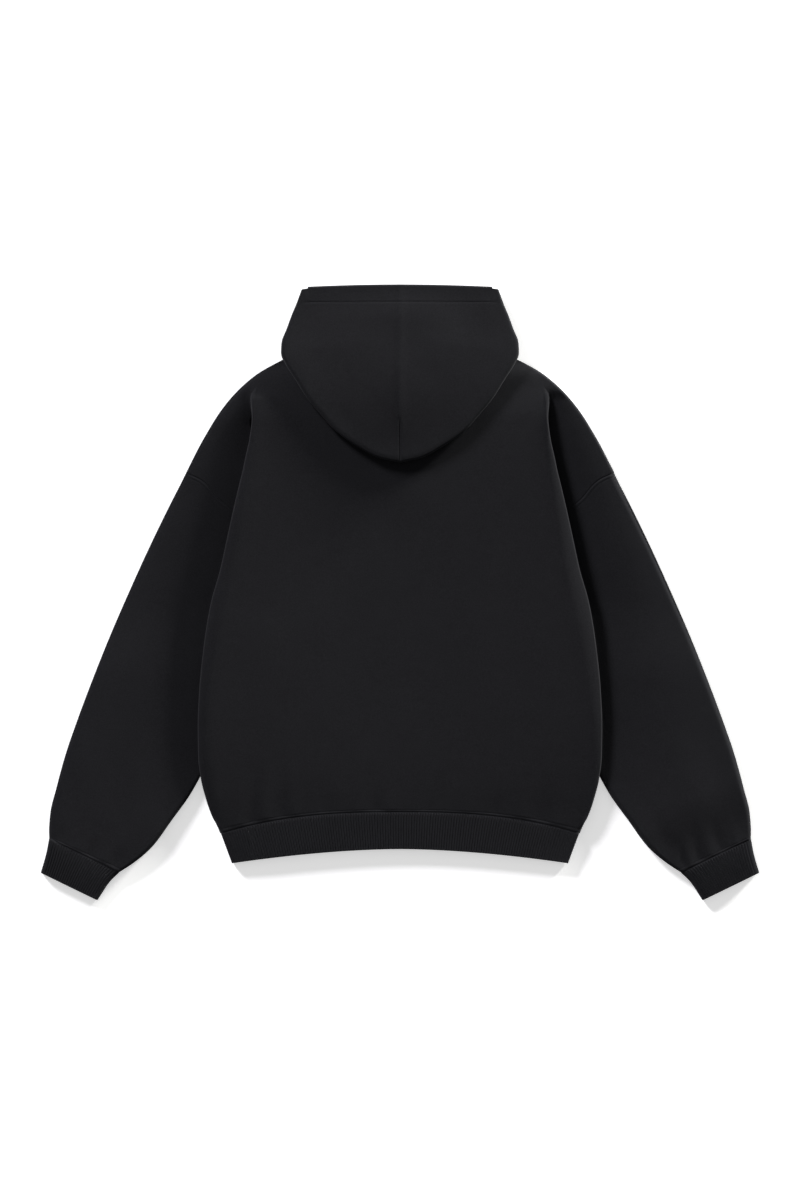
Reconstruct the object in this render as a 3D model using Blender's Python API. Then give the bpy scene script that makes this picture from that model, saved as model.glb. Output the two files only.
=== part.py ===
"""Pullover hoodie laid flat with its back up: eight cut pieces as cloth walls.

Millimetres in the tables and functions, metres in the meshes. +X is the wearer's right,
+Y runs from the hem to the hood, +Z is up, and the garment lies on z = 0.
Both body panels follow one middle line per section. It runs out to the fold along the
side of the body, turns under it, and comes back out to the armhole or the shoulder.
"""
import math
from collections import namedtuple

import bmesh
import bpy
import numpy as np

MM = 0.001

FLEECE_WALL = 2.0        # heavyweight brushed fleece
RIB_WALL = 2.6           # 1x1 rib folded double
SEAM_GAP = 0.35          # between the edges of two pieces that are sewn together
ARMHOLE_GAPS = (1.2, 0.55)   # the sleeve's edge is moved off by these many gaps, in x and y
HEM_GAPS = 1.5           # and the hem band's edge by this many
FLOOR_LEVEL = FLEECE_WALL / 2

PRESSED_PLY = 1.4        # middle line to the middle of either panel, at a fold
LOOSE_PLY = 2.6          # the same in the open middle of the body
TURNING_PLY = 1.85       # the same where the fold is still opening, so the walls stay clear
SEAM_PLY = 1.25          # the same where the two panels are sewn edge to edge
UNDERARM_EASE = 1.6      # extra room for the sleeve at the underarm point
SIDE_FOLD_RADIUS = 3.0   # middle line where the body turns under along its side
FOLD_REACH = SIDE_FOLD_RADIUS + PRESSED_PLY + FLEECE_WALL / 2
LOWEST_LINE = FLOOR_LEVEL + PRESSED_PLY
BODY_LEVEL = FLOOR_LEVEL + LOOSE_PLY
RAMP = 87.0              # width over which the body climbs on to its folded side
KNEE = 8.0               # the climb ends this far inside the folded part
RAMP_SHARES = (0.35, 0.7, 1.0)
TURN_STEPS = 3
END_CURVE = 2.6          # power of the hem seam's curve

NECK_X = 92.4            # where the shoulder seam meets the neckline
NECK_Y = 345.1
BACK_NECK_DEPTH = 8.4
FRONT_NECK_DEPTH = 82.6
BACK_NECK_POWER = 2.0
FRONT_NECK_POWER = 2.2
SHOULDER_X = 164.5       # where the shoulder comes out from under the hood
SHOULDER_Y = 325.5

# One section of the body for each row, from the shoulder down to the hem seam.
# y: height of its ends.  fold_x: side fold's outermost point.  end_x: where the lower
# run ends, at the shoulder or the armhole.  turn: degrees the cloth turns at the fold.
# flap: width tucked under.  main_z: middle line at the fold.  rise: how much higher the
# section's middle is than its ends.  dip: share of the front neckline's depth it follows.
BodyRow = namedtuple("BodyRow", "y fold_x end_x turn flap main_z rise dip")
SHOULDER_ROWS = [
    BodyRow(SHOULDER_Y, 162.4, SHOULDER_X, 0, 0.0, 2.5, 0.0, 1.00),
    BodyRow(306.0, 189.0, 198.0, 0, 0.0, 2.5, 0.0, 0.80),
    BodyRow(289.0, 203.0, 219.0, 0, 0.0, 3.2, 0.0, 0.68),
    BodyRow(275.0, 204.5, 233.0, 35, 1.0, 7.6, 0.0, 0.58),
    BodyRow(258.0, 205.2, 247.0, 75, 1.0, 11.2, 0.0, 0.45),
    BodyRow(241.5, 206.2, 258.4, 115, 1.0, 13.2, 0.0, 0.35),
    BodyRow(226.5, 208.2, 267.4, 150, 1.5, 14.2, 0.0, 0.27),
    BodyRow(210.0, 211.2, 277.0, 180, 8.0, 14.5, 0.0, 0.19),
    BodyRow(189.0, 216.0, 288.0, 180, 17.0, 14.5, 0.0, 0.10),
]
ARMHOLE_ROWS = [
    BodyRow(167.3, 220.5, 299.0, 180, 25.0, 14.5, 0.0, 0.0),
    BodyRow(157.5, 223.0, 278.0, 180, 29.0, 14.5, 0.0, 0.0),
    BodyRow(129.5, 229.7, 252.0, 180, 39.0, 14.5, 0.0, 0.0),
    BodyRow(114.0, 233.3, 234.0, 180, 44.0, 14.5, 0.0, 0.0),
    BodyRow(66.5, 243.6, 202.5, 180, 57.0, 14.5, 0.0, 0.0),
    BodyRow(31.5, 251.3, 194.5, 180, 64.0, 14.5, 0.0, 0.0),
    BodyRow(-10.5, 263.2, 191.5, 180, 75.0, 14.5, 0.0, 0.0),
]
SIDE_ROWS = [
    BodyRow(-38.5, 268.8, None, 180, 72.0, 15.0, 0.0, 0.0),
    BodyRow(-80.5, 274.8, None, 180, 62.0, 16.4, 0.0, 0.0),
    BodyRow(-136.5, 280.4, None, 180, 48.0, 17.2, 0.0, 0.0),
    BodyRow(-185.5, 282.5, None, 180, 36.0, 17.2, 0.0, 0.0),
    BodyRow(-227.5, 282.0, None, 180, 25.0, 17.2, 3.0, 0.0),
    BodyRow(-262.5, 278.0, None, 180, 15.0, 16.0, 8.0, 0.0),
    BodyRow(-286.5, 272.1, None, 180, 6.0, 9.8, 14.0, 0.0),
    BodyRow(-300.0, 267.7, None, 140, 1.5, 7.6, 18.5, 0.0),
    BodyRow(-313.0, 263.1, None, 90, 1.0, 5.6, 23.0, 0.0),
    BodyRow(-325.0, 257.8, None, 40, 1.0, 3.6, 26.5, 0.0),
    BodyRow(-336.7, 250.6, None, 0, 0.0, 2.4, 30.1, 0.0),
]
BODY_ROWS = SHOULDER_ROWS + ARMHOLE_ROWS + SIDE_ROWS
HEM_SEAM = SIDE_ROWS[-1]

# Sleeve rings from the armhole to the cuff seam: ends of each flattened ring, and the
# share of the armhole's curve that it keeps.
SleeveRing = namedtuple("SleeveRing", "outer_x outer_y inner_x inner_y bow")
SLEEVE_RINGS = [
    SleeveRing(298.9, 167.3, 191.5, -10.5, 1.0),
    SleeveRing(318.5, 129.5, 194.6, -45.5, 0.7),
    SleeveRing(349.3, 66.5, 203.0, -80.5, 0.4),
    SleeveRing(378.0, 3.5, 215.6, -122.5, 0.15),
    SleeveRing(405.3, -59.5, 232.4, -167.3, 0.0),
    SleeveRing(430.5, -122.5, 253.4, -209.3, 0.0),
    SleeveRing(451.5, -178.5, 274.4, -248.5, 0.0),
    SleeveRing(468.3, -227.5, 294.0, -283.5, 0.0),
    SleeveRing(480.9, -273.7, 319.2, -318.5, 0.0),
    SleeveRing(489.3, -308.7, 347.2, -356.3, 0.0),
    SleeveRing(491.0, -332.5, 372.4, -378.0, 0.0),
    SleeveRing(490.7, -343.7, 392.7, -391.3, 0.0),
]
# The sleeve's half thickness, from the armhole down to the fuller forearm.
PUFF_TOP = (-10.0, PRESSED_PLY)
PUFF_FULL = (-122.0, 2.7)

CuffRing = namedtuple("CuffRing", "outer_x outer_y inner_x inner_y ply")
CUFF_RINGS = [
    CuffRing(490.9, -344.2, 392.9, -391.8, 2.5),
    CuffRing(494.5, -363.0, 405.0, -403.5, 2.3),
    CuffRing(502.6, -391.9, 423.2, -430.5, 2.0),
]

HEM_PLY = (2.5, 1.7)     # hem band's half thickness at its middle and at its sides
HEM_BOTTOM_Y = -358.7
HEM_BOTTOM_DROP = 20.0
HEM_BOTTOM_X = 235.2
HEM_BOTTOM_POWER = 1.75

# Hood, half of it, from the crown's tip round its outline to the corner of the rim.
# x, y: the outline.  rim_x: the point of the rim joined to it.
HoodColumn = namedtuple("HoodColumn", "x y rim_x")
HOOD_COLUMNS = [
    HoodColumn(0.0, 181.3, 0.0),
    HoodColumn(27.2, 186.9, 12.6),
    HoodColumn(58.8, 203.0, 26.6),
    HoodColumn(91.0, 226.1, 40.6),
    HoodColumn(112.0, 249.5, 53.2),
    HoodColumn(129.4, 270.3, 64.4),
    HoodColumn(147.0, 298.2, 74.2),
    HoodColumn(160.3, 319.2, 84.0),
    HoodColumn(166.3, 333.9, 92.4),
    HoodColumn(165.6, 349.3, 100.8),
    HoodColumn(158.9, 367.5, 109.2),
    HoodColumn(151.2, 388.5, 116.9),
    HoodColumn(144.2, 405.3, 123.2),
    HoodColumn(137.9, 422.1, 128.8),
]
RIM_Y = 430.1
RIM_DROP = 3.0
HOOD_ON_BACK = 3.2       # middle of the hood's lower layer above the back panel's middle
HOOD_LAYERS = 5.4        # middle to middle of the hood's two layers
HOOD_OFF_BODY = 6.8      # upper layer where the hood lies past the neckline
HOOD_CLIMB = (40.0, 4.0)  # above the neckline, where the upper layer starts and ends its climb
HOOD_LEVEL_POWER = 6     # the upper layer keeps to its own level until close to its fold
HOOD_CORNER_OUT = (0.875, -0.485)    # way that the side fold faces at the rim's corner
HOOD_ROWS = [0.11, 0.42, 0.76]
HOOD_LOW_ROWS = (0.35, 0.7, 1.0)
HOOD_NECK_WIDTH = 0.985  # the hood's edge stops short of the neck point, as a share of NECK_X
HOOD_SEAM_ROW = 2        # the centre seam starts at this one of HOOD_ROWS
RIM_FOLD_RADIUS = 1.5
RIM_HEM = 24.8           # depth of the turned rim
RIM_HEM_COLUMNS = 12
NECK_LAP = 6.0           # the hood's edge lies this far on to the back panel
FIRST_CHEEK = 8          # outline points from here on belong to the cheek, past the shoulder
# Cheek of the hood, resting on the floor, as it runs to the middle of the front neckline:
# one edge along the neckline, the other the hood's rim.
CheekRow = namedtuple("CheekRow", "neck_x neck_y rim_x rim_y")
CHEEK_ROWS = [
    CheekRow(84.0, 361.9, 64.4, 366.1),
    CheekRow(88.9, 346.0, 51.8, 352.1),
    CheekRow(61.3, 297.1, 39.2, 336.7),
    CheekRow(30.8, 270.7, 14.0, 305.9),
    CheekRow(0.6, 263.2, 0.6, 282.1),
]
CHEEK_LEVEL = 1.2
# Lower layer's height where the cheek comes down off the shoulder, outline to neck.
CHEEK_FALL = {
    8: [5.8, 6.6, 6.8, 7.0],
    9: [2.8, 3.6, 4.4, 5.2],
    10: [1.2, 1.8, 2.6, 3.2],
    11: [1.2, 1.2, 1.6, 1.8],
}

BLACK_FLEECE = (0.013, 0.013, 0.0145)
BLACK_RIB = (0.012, 0.012, 0.0135)
CLOTH_ROUGHNESS = 0.9


def ease(t):
    """Smooth step from 0 to 1."""
    t = min(max(t, 0.0), 1.0)
    return t * t * (3.0 - 2.0 * t)


def mix(a, b, t):
    return a + (b - a) * t


def neck_y(x, depth, power):
    """Height of a neckline, or of the shoulder seam beyond it."""
    if x <= NECK_X:
        return NECK_Y - depth * (1.0 - (x / NECK_X) ** power)
    return NECK_Y + (SHOULDER_Y - NECK_Y) * (x - NECK_X) / (SHOULDER_X - NECK_X)


def back_neck_y(x):
    return neck_y(x, BACK_NECK_DEPTH, BACK_NECK_POWER)


def front_neck_y(x):
    return neck_y(x, FRONT_NECK_DEPTH, FRONT_NECK_POWER)


def main_run(row):
    """Middle line across half of the body, as (x, z, half gap between the panels)."""
    centre = row.fold_x - FOLD_REACH
    knee = centre - row.flap - KNEE
    start = max(knee - RAMP, 20.0)
    run = []
    for x in (0.0, start / 2, start):
        run.append((x, BODY_LEVEL, LOOSE_PLY))
    for share in RAMP_SHARES:
        x = mix(start, knee, share)
        rise = ease(share)
        run.append((x, mix(BODY_LEVEL, row.main_z, rise), mix(LOOSE_PLY, PRESSED_PLY, rise)))
    run.append((centre, row.main_z, PRESSED_PLY))
    return run


def body_section(row, seamed):
    """Half section of the body: (x, z, normal x, normal z, half gap) for each column."""
    section = [(x, z, 0.0, 1.0, gap) for x, z, gap in main_run(row)]
    x, z = section[-1][0], section[-1][1]
    lower = row.end_x is not None
    if row.turn == 0:
        end = row.end_x if lower else row.fold_x
        count = 2 * TURN_STEPS + 3 if lower else TURN_STEPS + 1
        for step in range(1, count + 1):
            section.append((mix(x, end, step / count), z, 0.0, 1.0, PRESSED_PLY))
    else:
        turn = math.radians(row.turn)
        radius = SIDE_FOLD_RADIUS
        ply = PRESSED_PLY if row.turn == 180 else TURNING_PLY
        if lower:
            fall = z - LOWEST_LINE - row.flap * math.sin(turn)
            radius = fall / (2.0 * (1.0 - math.cos(turn)))
        for step in range(1, TURN_STEPS + 1):
            a = turn * step / TURN_STEPS
            section.append((x + radius * math.sin(a), z - radius * (1.0 - math.cos(a)),
                            math.sin(a), math.cos(a), ply))
        x = section[-1][0] + row.flap * math.cos(turn)
        z = section[-1][1] - row.flap * math.sin(turn)
        section.append((x, z, math.sin(turn), math.cos(turn), ply))
        if lower:
            for step in range(1, TURN_STEPS + 1):
                a = turn * (1.0 - step / TURN_STEPS)
                section.append((x + radius * (math.sin(turn) - math.sin(a)),
                                z + radius * (math.cos(turn) - math.cos(a)),
                                math.sin(a), math.cos(a), ply))
            x, z = section[-1][0], section[-1][1]
            for share in (0.5, 1.0):
                section.append((mix(x, row.end_x, share), z, 0.0, 1.0, PRESSED_PLY))
    if seamed:
        section[-1] = section[-1][:4] + (SEAM_PLY,)
    return section


def body_panel_points(side):
    """Grid of the back (side +1) or front (side -1) panel's middle surface, half of it."""
    grid = []
    for number, row in enumerate(BODY_ROWS):
        seamed = row not in ARMHOLE_ROWS
        points = []
        for x, z, nx, nz, gap in body_section(row, seamed):
            y = row.y + row.rise * (1.0 - min(x / row.fold_x, 1.0) ** END_CURVE)
            if number == 0:
                y = back_neck_y(x)
            if side < 0 and x < NECK_X:
                y -= row.dip * (back_neck_y(x) - front_neck_y(x))
            points.append((x + side * gap * nx, y, z + side * gap * nz))
        grid.append(points)
    return grid


def back_level(x, y):
    """Height of the back panel's middle surface, on its main run."""
    heights = [np.interp(x, [p[0] for p in main_run(row)], [p[1] + p[2] for p in main_run(row)])
               for row in BODY_ROWS]
    return float(np.interp(-y, [-row.y for row in BODY_ROWS], heights))


def puff(y):
    """Half gap between the two walls of a sleeve."""
    (top_y, top), (full_y, full) = PUFF_TOP, PUFF_FULL
    return mix(top, full, ease((top_y - y) / (top_y - full_y)))


def flattened_ring(line, base, ply, wall):
    """Closed ring through a line of (x, y), pressed flat: over, round, back under, round."""
    line = [np.array(p, float) for p in line]
    start = line[1] - line[0]
    start /= np.linalg.norm(start)
    end = line[-1] - line[-2]
    end /= np.linalg.norm(end)
    plies = [ply(p[1]) for p in line]
    line[0] = line[0] + start * (plies[0] + wall / 2)
    line[-1] = line[-1] - end * (plies[-1] + wall / 2)
    upper = [(p[0], p[1], base + 2.0 * h) for p, h in zip(line, plies)]
    lower = [(p[0], p[1], base) for p in line]

    def turn(place, way, half):
        points = []
        for step in range(1, TURN_STEPS):
            a = math.pi * step / TURN_STEPS
            out = place + way * half * math.sin(a)
            points.append((out[0], out[1], base + half * (1.0 + math.cos(a))))
        return points

    far = turn(line[-1], end, plies[-1])
    near = turn(line[0], -start, plies[0])
    return upper + far + lower[::-1] + near[::-1]


def armhole_line():
    """Armhole seam from the shoulder to the underarm, moved clear of the body's edge."""
    along, across = [gaps * SEAM_GAP for gaps in ARMHOLE_GAPS]
    last = len(ARMHOLE_ROWS) - 1
    return [(row.end_x + along + UNDERARM_EASE * (k / last) ** 4, row.y - across)
            for k, row in enumerate(ARMHOLE_ROWS)]


def sleeve_points():
    seam = [np.array(p) for p in armhole_line()]
    steps = [0.0]
    for a, b in zip(seam, seam[1:]):
        steps.append(steps[-1] + np.linalg.norm(b - a))
    shares = [s / steps[-1] for s in steps]
    rings = []
    for ring in SLEEVE_RINGS:
        outer = np.array((ring.outer_x, ring.outer_y))
        inner = np.array((ring.inner_x, ring.inner_y))
        line = []
        for point, share in zip(seam, shares):
            bow = point - mix(seam[0], seam[-1], share)
            place = point if ring.bow == 1.0 else mix(outer, inner, share) + ring.bow * bow
            line.append(place)
        rings.append(flattened_ring(line[::-1], FLOOR_LEVEL, puff, FLEECE_WALL))
    return rings


def cuff_points():
    count = len(ARMHOLE_ROWS)
    rings = []
    for ring in CUFF_RINGS:
        line = [(mix(ring.inner_x, ring.outer_x, k / (count - 1)),
                 mix(ring.inner_y, ring.outer_y, k / (count - 1))) for k in range(count)]
        rings.append(flattened_ring(line, RIB_WALL / 2, lambda y, ply=ring.ply: ply, RIB_WALL))
    return rings


def hem_points():
    """Rings of the hem band, from the body's lower edge to the garment's bottom edge."""
    columns = [x for x, _, _ in main_run(HEM_SEAM)] + [HEM_SEAM.fold_x]
    middle, side = HEM_PLY
    rings = []
    for share in (0.0, 0.5, 1.0):
        half = []
        for x in columns:
            curve = 1.0 - (x / HEM_SEAM.fold_x) ** END_CURVE
            top_y = HEM_SEAM.y - HEM_GAPS * SEAM_GAP + HEM_SEAM.rise * curve
            low_x = x * HEM_BOTTOM_X / HEM_SEAM.fold_x
            low_y = HEM_BOTTOM_Y - HEM_BOTTOM_DROP * (low_x / HEM_BOTTOM_X) ** HEM_BOTTOM_POWER
            half.append((mix(x, low_x, share), mix(top_y, low_y, share)))
        line = [(-x, y) for x, y in half[:0:-1]] + half
        depth = half[-1][1] - half[0][1]

        def ply(y, top=half[0][1], depth=depth):
            return mix(middle, side, ease((y - top) / depth))

        rings.append(flattened_ring(line, RIB_WALL / 2, ply, RIB_WALL))
    return rings


def hood_climb(x, y):
    """0 past the neckline, 1 where the hood lies on the back."""
    above = y - back_neck_y(min(x, SHOULDER_X))
    start, end = HOOD_CLIMB
    return ease((start - above) / (start - end))


def hood_top(x, y):
    on_back = back_level(x, y) + HOOD_ON_BACK + HOOD_LAYERS
    return mix(HOOD_OFF_BODY, on_back, hood_climb(x, y))


def hood_points():
    """Half of the hood, one list for each row from the rim's turned hem to the neck."""
    outline = [np.array((c.x, c.y)) for c in HOOD_COLUMNS]
    corner = HOOD_COLUMNS[-1]
    columns = []
    for j, column in enumerate(HOOD_COLUMNS):
        before = outline[max(j - 1, 0)]
        after = outline[min(j + 1, len(outline) - 1)]
        along = after - before
        if j == 0:
            along = np.array((1.0, 0.0))
        out = np.array((along[1], -along[0])) / np.linalg.norm(along)
        if column is corner:
            out = np.array(HOOD_CORNER_OUT)
        rim = np.array((column.rim_x, RIM_Y - RIM_DROP * (column.rim_x / corner.rim_x) ** 2))
        fold = rim - np.array((0.0, RIM_FOLD_RADIUS + FLEECE_WALL / 2))
        level = hood_top(*fold)
        points = []
        if j < RIM_HEM_COLUMNS:
            below = fold - np.array((0.0, RIM_HEM - RIM_FOLD_RADIUS))
            points.append((below[0], below[1], level - 2 * RIM_FOLD_RADIUS))
            for step in range(TURN_STEPS):
                a = math.pi * step / TURN_STEPS
                points.append((fold[0], fold[1] + RIM_FOLD_RADIUS * math.sin(a),
                               level - RIM_FOLD_RADIUS * (1.0 + math.cos(a))))
        else:
            points += [None] * (TURN_STEPS + 1)
        points.append((fold[0], fold[1], level))

        cheek = j >= FIRST_CHEEK
        reach = HOOD_LAYERS / 2 + FLEECE_WALL / 2
        place = outline[j] - out * reach
        top = hood_top(*place)
        if cheek:
            falls = CHEEK_FALL.get(j, [CHEEK_LEVEL] * 4)
            bottom = falls[0]
        else:
            bottom = back_level(*place) + HOOD_ON_BACK
        radius = (top - bottom) / 2
        place = outline[j] - out * (radius + FLEECE_WALL / 2)
        for share in HOOD_ROWS:
            x, y = mix(fold, place, share)
            points.append((x, y, mix(hood_top(x, y), top, share ** HOOD_LEVEL_POWER)))
        for step in range(TURN_STEPS + 1):
            a = math.pi * step / TURN_STEPS
            x, y = place + out * radius * math.sin(a)
            points.append((x, y, bottom + radius * (1.0 + math.cos(a))))

        if cheek:
            share = (j - FIRST_CHEEK) / (len(HOOD_COLUMNS) - 1 - FIRST_CHEEK)
            ends = [np.array((mix(r.neck_x, r.rim_x, share), mix(r.neck_y, r.rim_y, share)))
                    for r in CHEEK_ROWS]
            for part, z in zip(HOOD_LOW_ROWS, falls[1:]):
                x, y = mix(place, ends[0], part)
                points.append((x, y, z))
            for x, y in ends[1:]:
                points.append((x, y, CHEEK_LEVEL))
        else:
            neck_x = NECK_X * HOOD_NECK_WIDTH * j / (FIRST_CHEEK - 1)
            end = np.array((neck_x, back_neck_y(neck_x) - NECK_LAP))
            for part in HOOD_LOW_ROWS:
                x, y = mix(place, end, part)
                points.append((x, y, back_level(x, y) + HOOD_ON_BACK))
            points += [None] * (len(CHEEK_ROWS) - 1)
        columns.append(points)
    return [[points[i] for points in columns] for i in range(len(columns[0]))]


def make_material(name, colour, roughness):
    material = bpy.data.materials.new(name)
    material.use_nodes = True
    shader = material.node_tree.nodes["Principled BSDF"]
    shader.inputs["Base Color"].default_value = (*colour, 1.0)
    shader.inputs["Roughness"].default_value = roughness
    shader.inputs["Metallic"].default_value = 0.0
    return material


def make_object(name, places, faces, wall, colour):
    """A piece: its middle surface, given its wall by Solidify."""
    mesh = bpy.data.meshes.new(name)
    build = bmesh.new()
    verts = [build.verts.new([c * MM for c in place]) for place in places]
    for face in faces:
        build.faces.new([verts[k] for k in face])
    build.to_mesh(mesh)
    build.free()
    piece = bpy.data.objects.new(name, mesh)
    bpy.context.scene.collection.objects.link(piece)
    solid = piece.modifiers.new("wall", "SOLIDIFY")
    solid.thickness = wall * MM
    solid.offset = 0.0
    solid.use_even_offset = True
    solid.use_quality_normals = True
    mesh.materials.append(make_material(name, colour, CLOTH_ROUGHNESS))
    mesh.shade_smooth()
    return piece


def mirrored_piece(name, rows, split_rows, wall, colour):
    """A piece from half a grid; its two halves share column 0 but for split_rows."""
    places = []
    keys = {}

    def vert(i, j, side):
        whole = j == 0 and i not in split_rows
        key = (i, j, 0 if whole else side)
        if key not in keys:
            x, y, z = rows[i][j]
            if j == 0:
                x = 0.0 if whole else SEAM_GAP / 2
            keys[key] = len(places)
            places.append((side * x, y, z))
        return keys[key]

    faces = []
    for side in (1, -1):
        for i in range(len(rows) - 1):
            for j in range(min(len(rows[i]), len(rows[i + 1])) - 1):
                corners = [(i, j), (i + 1, j), (i + 1, j + 1), (i, j + 1)]
                if any(rows[a][b] is None for a, b in corners):
                    continue
                a, b, c, d = [vert(m, n, side) for m, n in corners]
                faces += [(a, b, c), (a, c, d)] if side > 0 else [(c, b, a), (d, c, a)]
    return make_object(name, places, faces, wall, colour)


def tube_piece(name, rings, mirror, wall, colour):
    """A piece from closed rings, mirrored to the wearer's left where asked."""
    side = -1 if mirror else 1
    count = len(rings[0])
    places = [(side * x, y, z) for ring in rings for x, y, z in ring]
    faces = []
    for i in range(len(rings) - 1):
        for j in range(count):
            after = (j + 1) % count
            a, b = i * count + j, (i + 1) * count + j
            c, d = (i + 1) * count + after, i * count + after
            faces += [(c, b, a), (d, c, a)] if mirror else [(a, b, c), (a, c, d)]
    return make_object(name, places, faces, wall, colour)


def main():
    for thing in list(bpy.data.objects):
        bpy.data.objects.remove(thing, do_unlink=True)
    mirrored_piece("back_panel", body_panel_points(1), (), FLEECE_WALL, BLACK_FLEECE)
    mirrored_piece("front_panel", body_panel_points(-1), (), FLEECE_WALL, BLACK_FLEECE)
    for side, mirror in (("left", True), ("right", False)):
        tube_piece("sleeve_" + side, sleeve_points(), mirror, FLEECE_WALL, BLACK_FLEECE)
        tube_piece("cuff_" + side, cuff_points(), mirror, RIB_WALL, BLACK_RIB)
    tube_piece("hem_band", hem_points(), False, RIB_WALL, BLACK_RIB)
    hood = hood_points()
    first_split = TURN_STEPS + 2 + HOOD_SEAM_ROW
    split_rows = range(first_split, len(hood))
    mirrored_piece("hood", hood, split_rows, FLEECE_WALL, BLACK_FLEECE)


main()
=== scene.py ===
"""Looks of a pullover hoodie laid flat with its back up, lit and framed from above.

Every cut piece is a thin shell on the middle surface of its solid: the same sections and
rings, run much finer, with loft, creases, seam relief and knitted ribs added to them.
Millimetres in the tables and the shape functions, metres in the meshes. +X is the
wearer's right, +Y runs from the hem to the hood, and the garment lies on z = 0.
"""
import math
from collections import namedtuple

import bpy
import numpy as np
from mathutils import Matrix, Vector
from mathutils.bvhtree import BVHTree


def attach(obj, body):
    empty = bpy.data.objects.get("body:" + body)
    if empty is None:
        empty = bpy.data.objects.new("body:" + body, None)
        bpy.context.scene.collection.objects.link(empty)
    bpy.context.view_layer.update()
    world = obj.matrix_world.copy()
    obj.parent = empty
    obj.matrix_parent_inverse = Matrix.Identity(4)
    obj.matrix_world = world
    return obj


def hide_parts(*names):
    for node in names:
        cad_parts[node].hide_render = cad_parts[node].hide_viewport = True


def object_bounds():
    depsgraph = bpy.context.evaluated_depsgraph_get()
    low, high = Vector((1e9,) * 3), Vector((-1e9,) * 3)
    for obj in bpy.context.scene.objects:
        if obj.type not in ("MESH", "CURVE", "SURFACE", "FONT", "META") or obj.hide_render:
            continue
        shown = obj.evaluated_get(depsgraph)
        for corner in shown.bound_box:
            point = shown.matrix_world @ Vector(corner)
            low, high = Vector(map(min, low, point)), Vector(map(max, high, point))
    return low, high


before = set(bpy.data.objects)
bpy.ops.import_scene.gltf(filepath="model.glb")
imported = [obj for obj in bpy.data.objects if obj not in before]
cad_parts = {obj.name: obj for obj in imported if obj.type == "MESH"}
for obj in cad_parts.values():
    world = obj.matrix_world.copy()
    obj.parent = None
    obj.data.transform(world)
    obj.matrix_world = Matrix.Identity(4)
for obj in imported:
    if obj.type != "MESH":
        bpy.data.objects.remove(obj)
cad_low, cad_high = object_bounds()

MM = 0.001

# ---- sizes of the solids
FLEECE_WALL = 2.0
RIB_WALL = 2.6
SEAM_GAP = 0.35
FLOOR_LEVEL = FLEECE_WALL / 2

PRESSED_PLY = 1.4
LOOSE_PLY = 2.6
TURNING_PLY = 1.85
SEAM_PLY = 1.25
UNDERARM_EASE = 1.6
SIDE_FOLD_RADIUS = 3.0
FOLD_REACH = SIDE_FOLD_RADIUS + PRESSED_PLY + FLEECE_WALL / 2
LOWEST_LINE = FLOOR_LEVEL + PRESSED_PLY
BODY_LEVEL = FLOOR_LEVEL + LOOSE_PLY
RAMP = 87.0
KNEE = 8.0
END_CURVE = 2.6

NECK_X = 92.4
NECK_Y = 345.1
BACK_NECK_DEPTH = 8.4
FRONT_NECK_DEPTH = 82.6
BACK_NECK_POWER = 2.0
FRONT_NECK_POWER = 2.2
SHOULDER_X = 164.5
SHOULDER_Y = 325.5

# One section of the body for each row, from the shoulder down to the hem seam.
# y: height of its ends.  fold_x: side fold's outermost point.  end_x: where the lower
# run ends, at the shoulder or the armhole.  turn: degrees the cloth turns at the fold.
# flap: width tucked under.  main_z: middle line at the fold.  rise: how much higher the
# section's middle is than its ends.  dip: share of the front neckline's depth it follows.
BodyRow = namedtuple("BodyRow", "y fold_x end_x turn flap main_z rise dip", defaults=(0.0, 0.0))
SHOULDER_ROWS = [BodyRow(*row) for row in (
    (SHOULDER_Y, 162.4, SHOULDER_X, 0, 0.0, 2.5, 0.0, 1.00),
    (306.0, 189.0, 198.0, 0, 0.0, 2.5, 0.0, 0.80),
    (289.0, 203.0, 219.0, 0, 0.0, 3.2, 0.0, 0.68),
    (275.0, 204.5, 233.0, 35, 1.0, 7.6, 0.0, 0.58),
    (258.0, 205.2, 247.0, 75, 1.0, 11.2, 0.0, 0.45),
    (241.5, 206.2, 258.4, 115, 1.0, 13.2, 0.0, 0.35),
    (226.5, 208.2, 267.4, 150, 1.5, 14.2, 0.0, 0.27),
    (210.0, 211.2, 277.0, 180, 8.0, 14.5, 0.0, 0.19),
    (189.0, 216.0, 288.0, 180, 17.0, 14.5, 0.0, 0.10),
)]
ARMHOLE_ROWS = [BodyRow(*row) for row in (
    (167.3, 220.5, 299.0, 180, 25.0, 14.5),
    (157.5, 223.0, 278.0, 180, 29.0, 14.5),
    (129.5, 229.7, 252.0, 180, 39.0, 14.5),
    (114.0, 233.3, 234.0, 180, 44.0, 14.5),
    (66.5, 243.6, 202.5, 180, 57.0, 14.5),
    (31.5, 251.3, 194.5, 180, 64.0, 14.5),
    (-10.5, 263.2, 191.5, 180, 75.0, 14.5),
)]
SIDE_ROWS = [BodyRow(*row) for row in (
    (-38.5, 268.8, None, 180, 72.0, 15.0),
    (-80.5, 274.8, None, 180, 62.0, 16.4),
    (-136.5, 280.4, None, 180, 48.0, 17.2),
    (-185.5, 282.5, None, 180, 36.0, 17.2),
    (-227.5, 282.0, None, 180, 25.0, 17.2, 3.0),
    (-262.5, 278.0, None, 180, 15.0, 16.0, 8.0),
    (-286.5, 272.1, None, 180, 6.0, 9.8, 14.0),
    (-300.0, 267.7, None, 140, 1.5, 7.6, 18.5),
    (-313.0, 263.1, None, 90, 1.0, 5.6, 23.0),
    (-325.0, 257.8, None, 40, 1.0, 3.6, 26.5),
    (-336.7, 250.6, None, 0, 0.0, 2.4, 30.1),
)]
BODY_ROWS = SHOULDER_ROWS + ARMHOLE_ROWS + SIDE_ROWS
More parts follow.
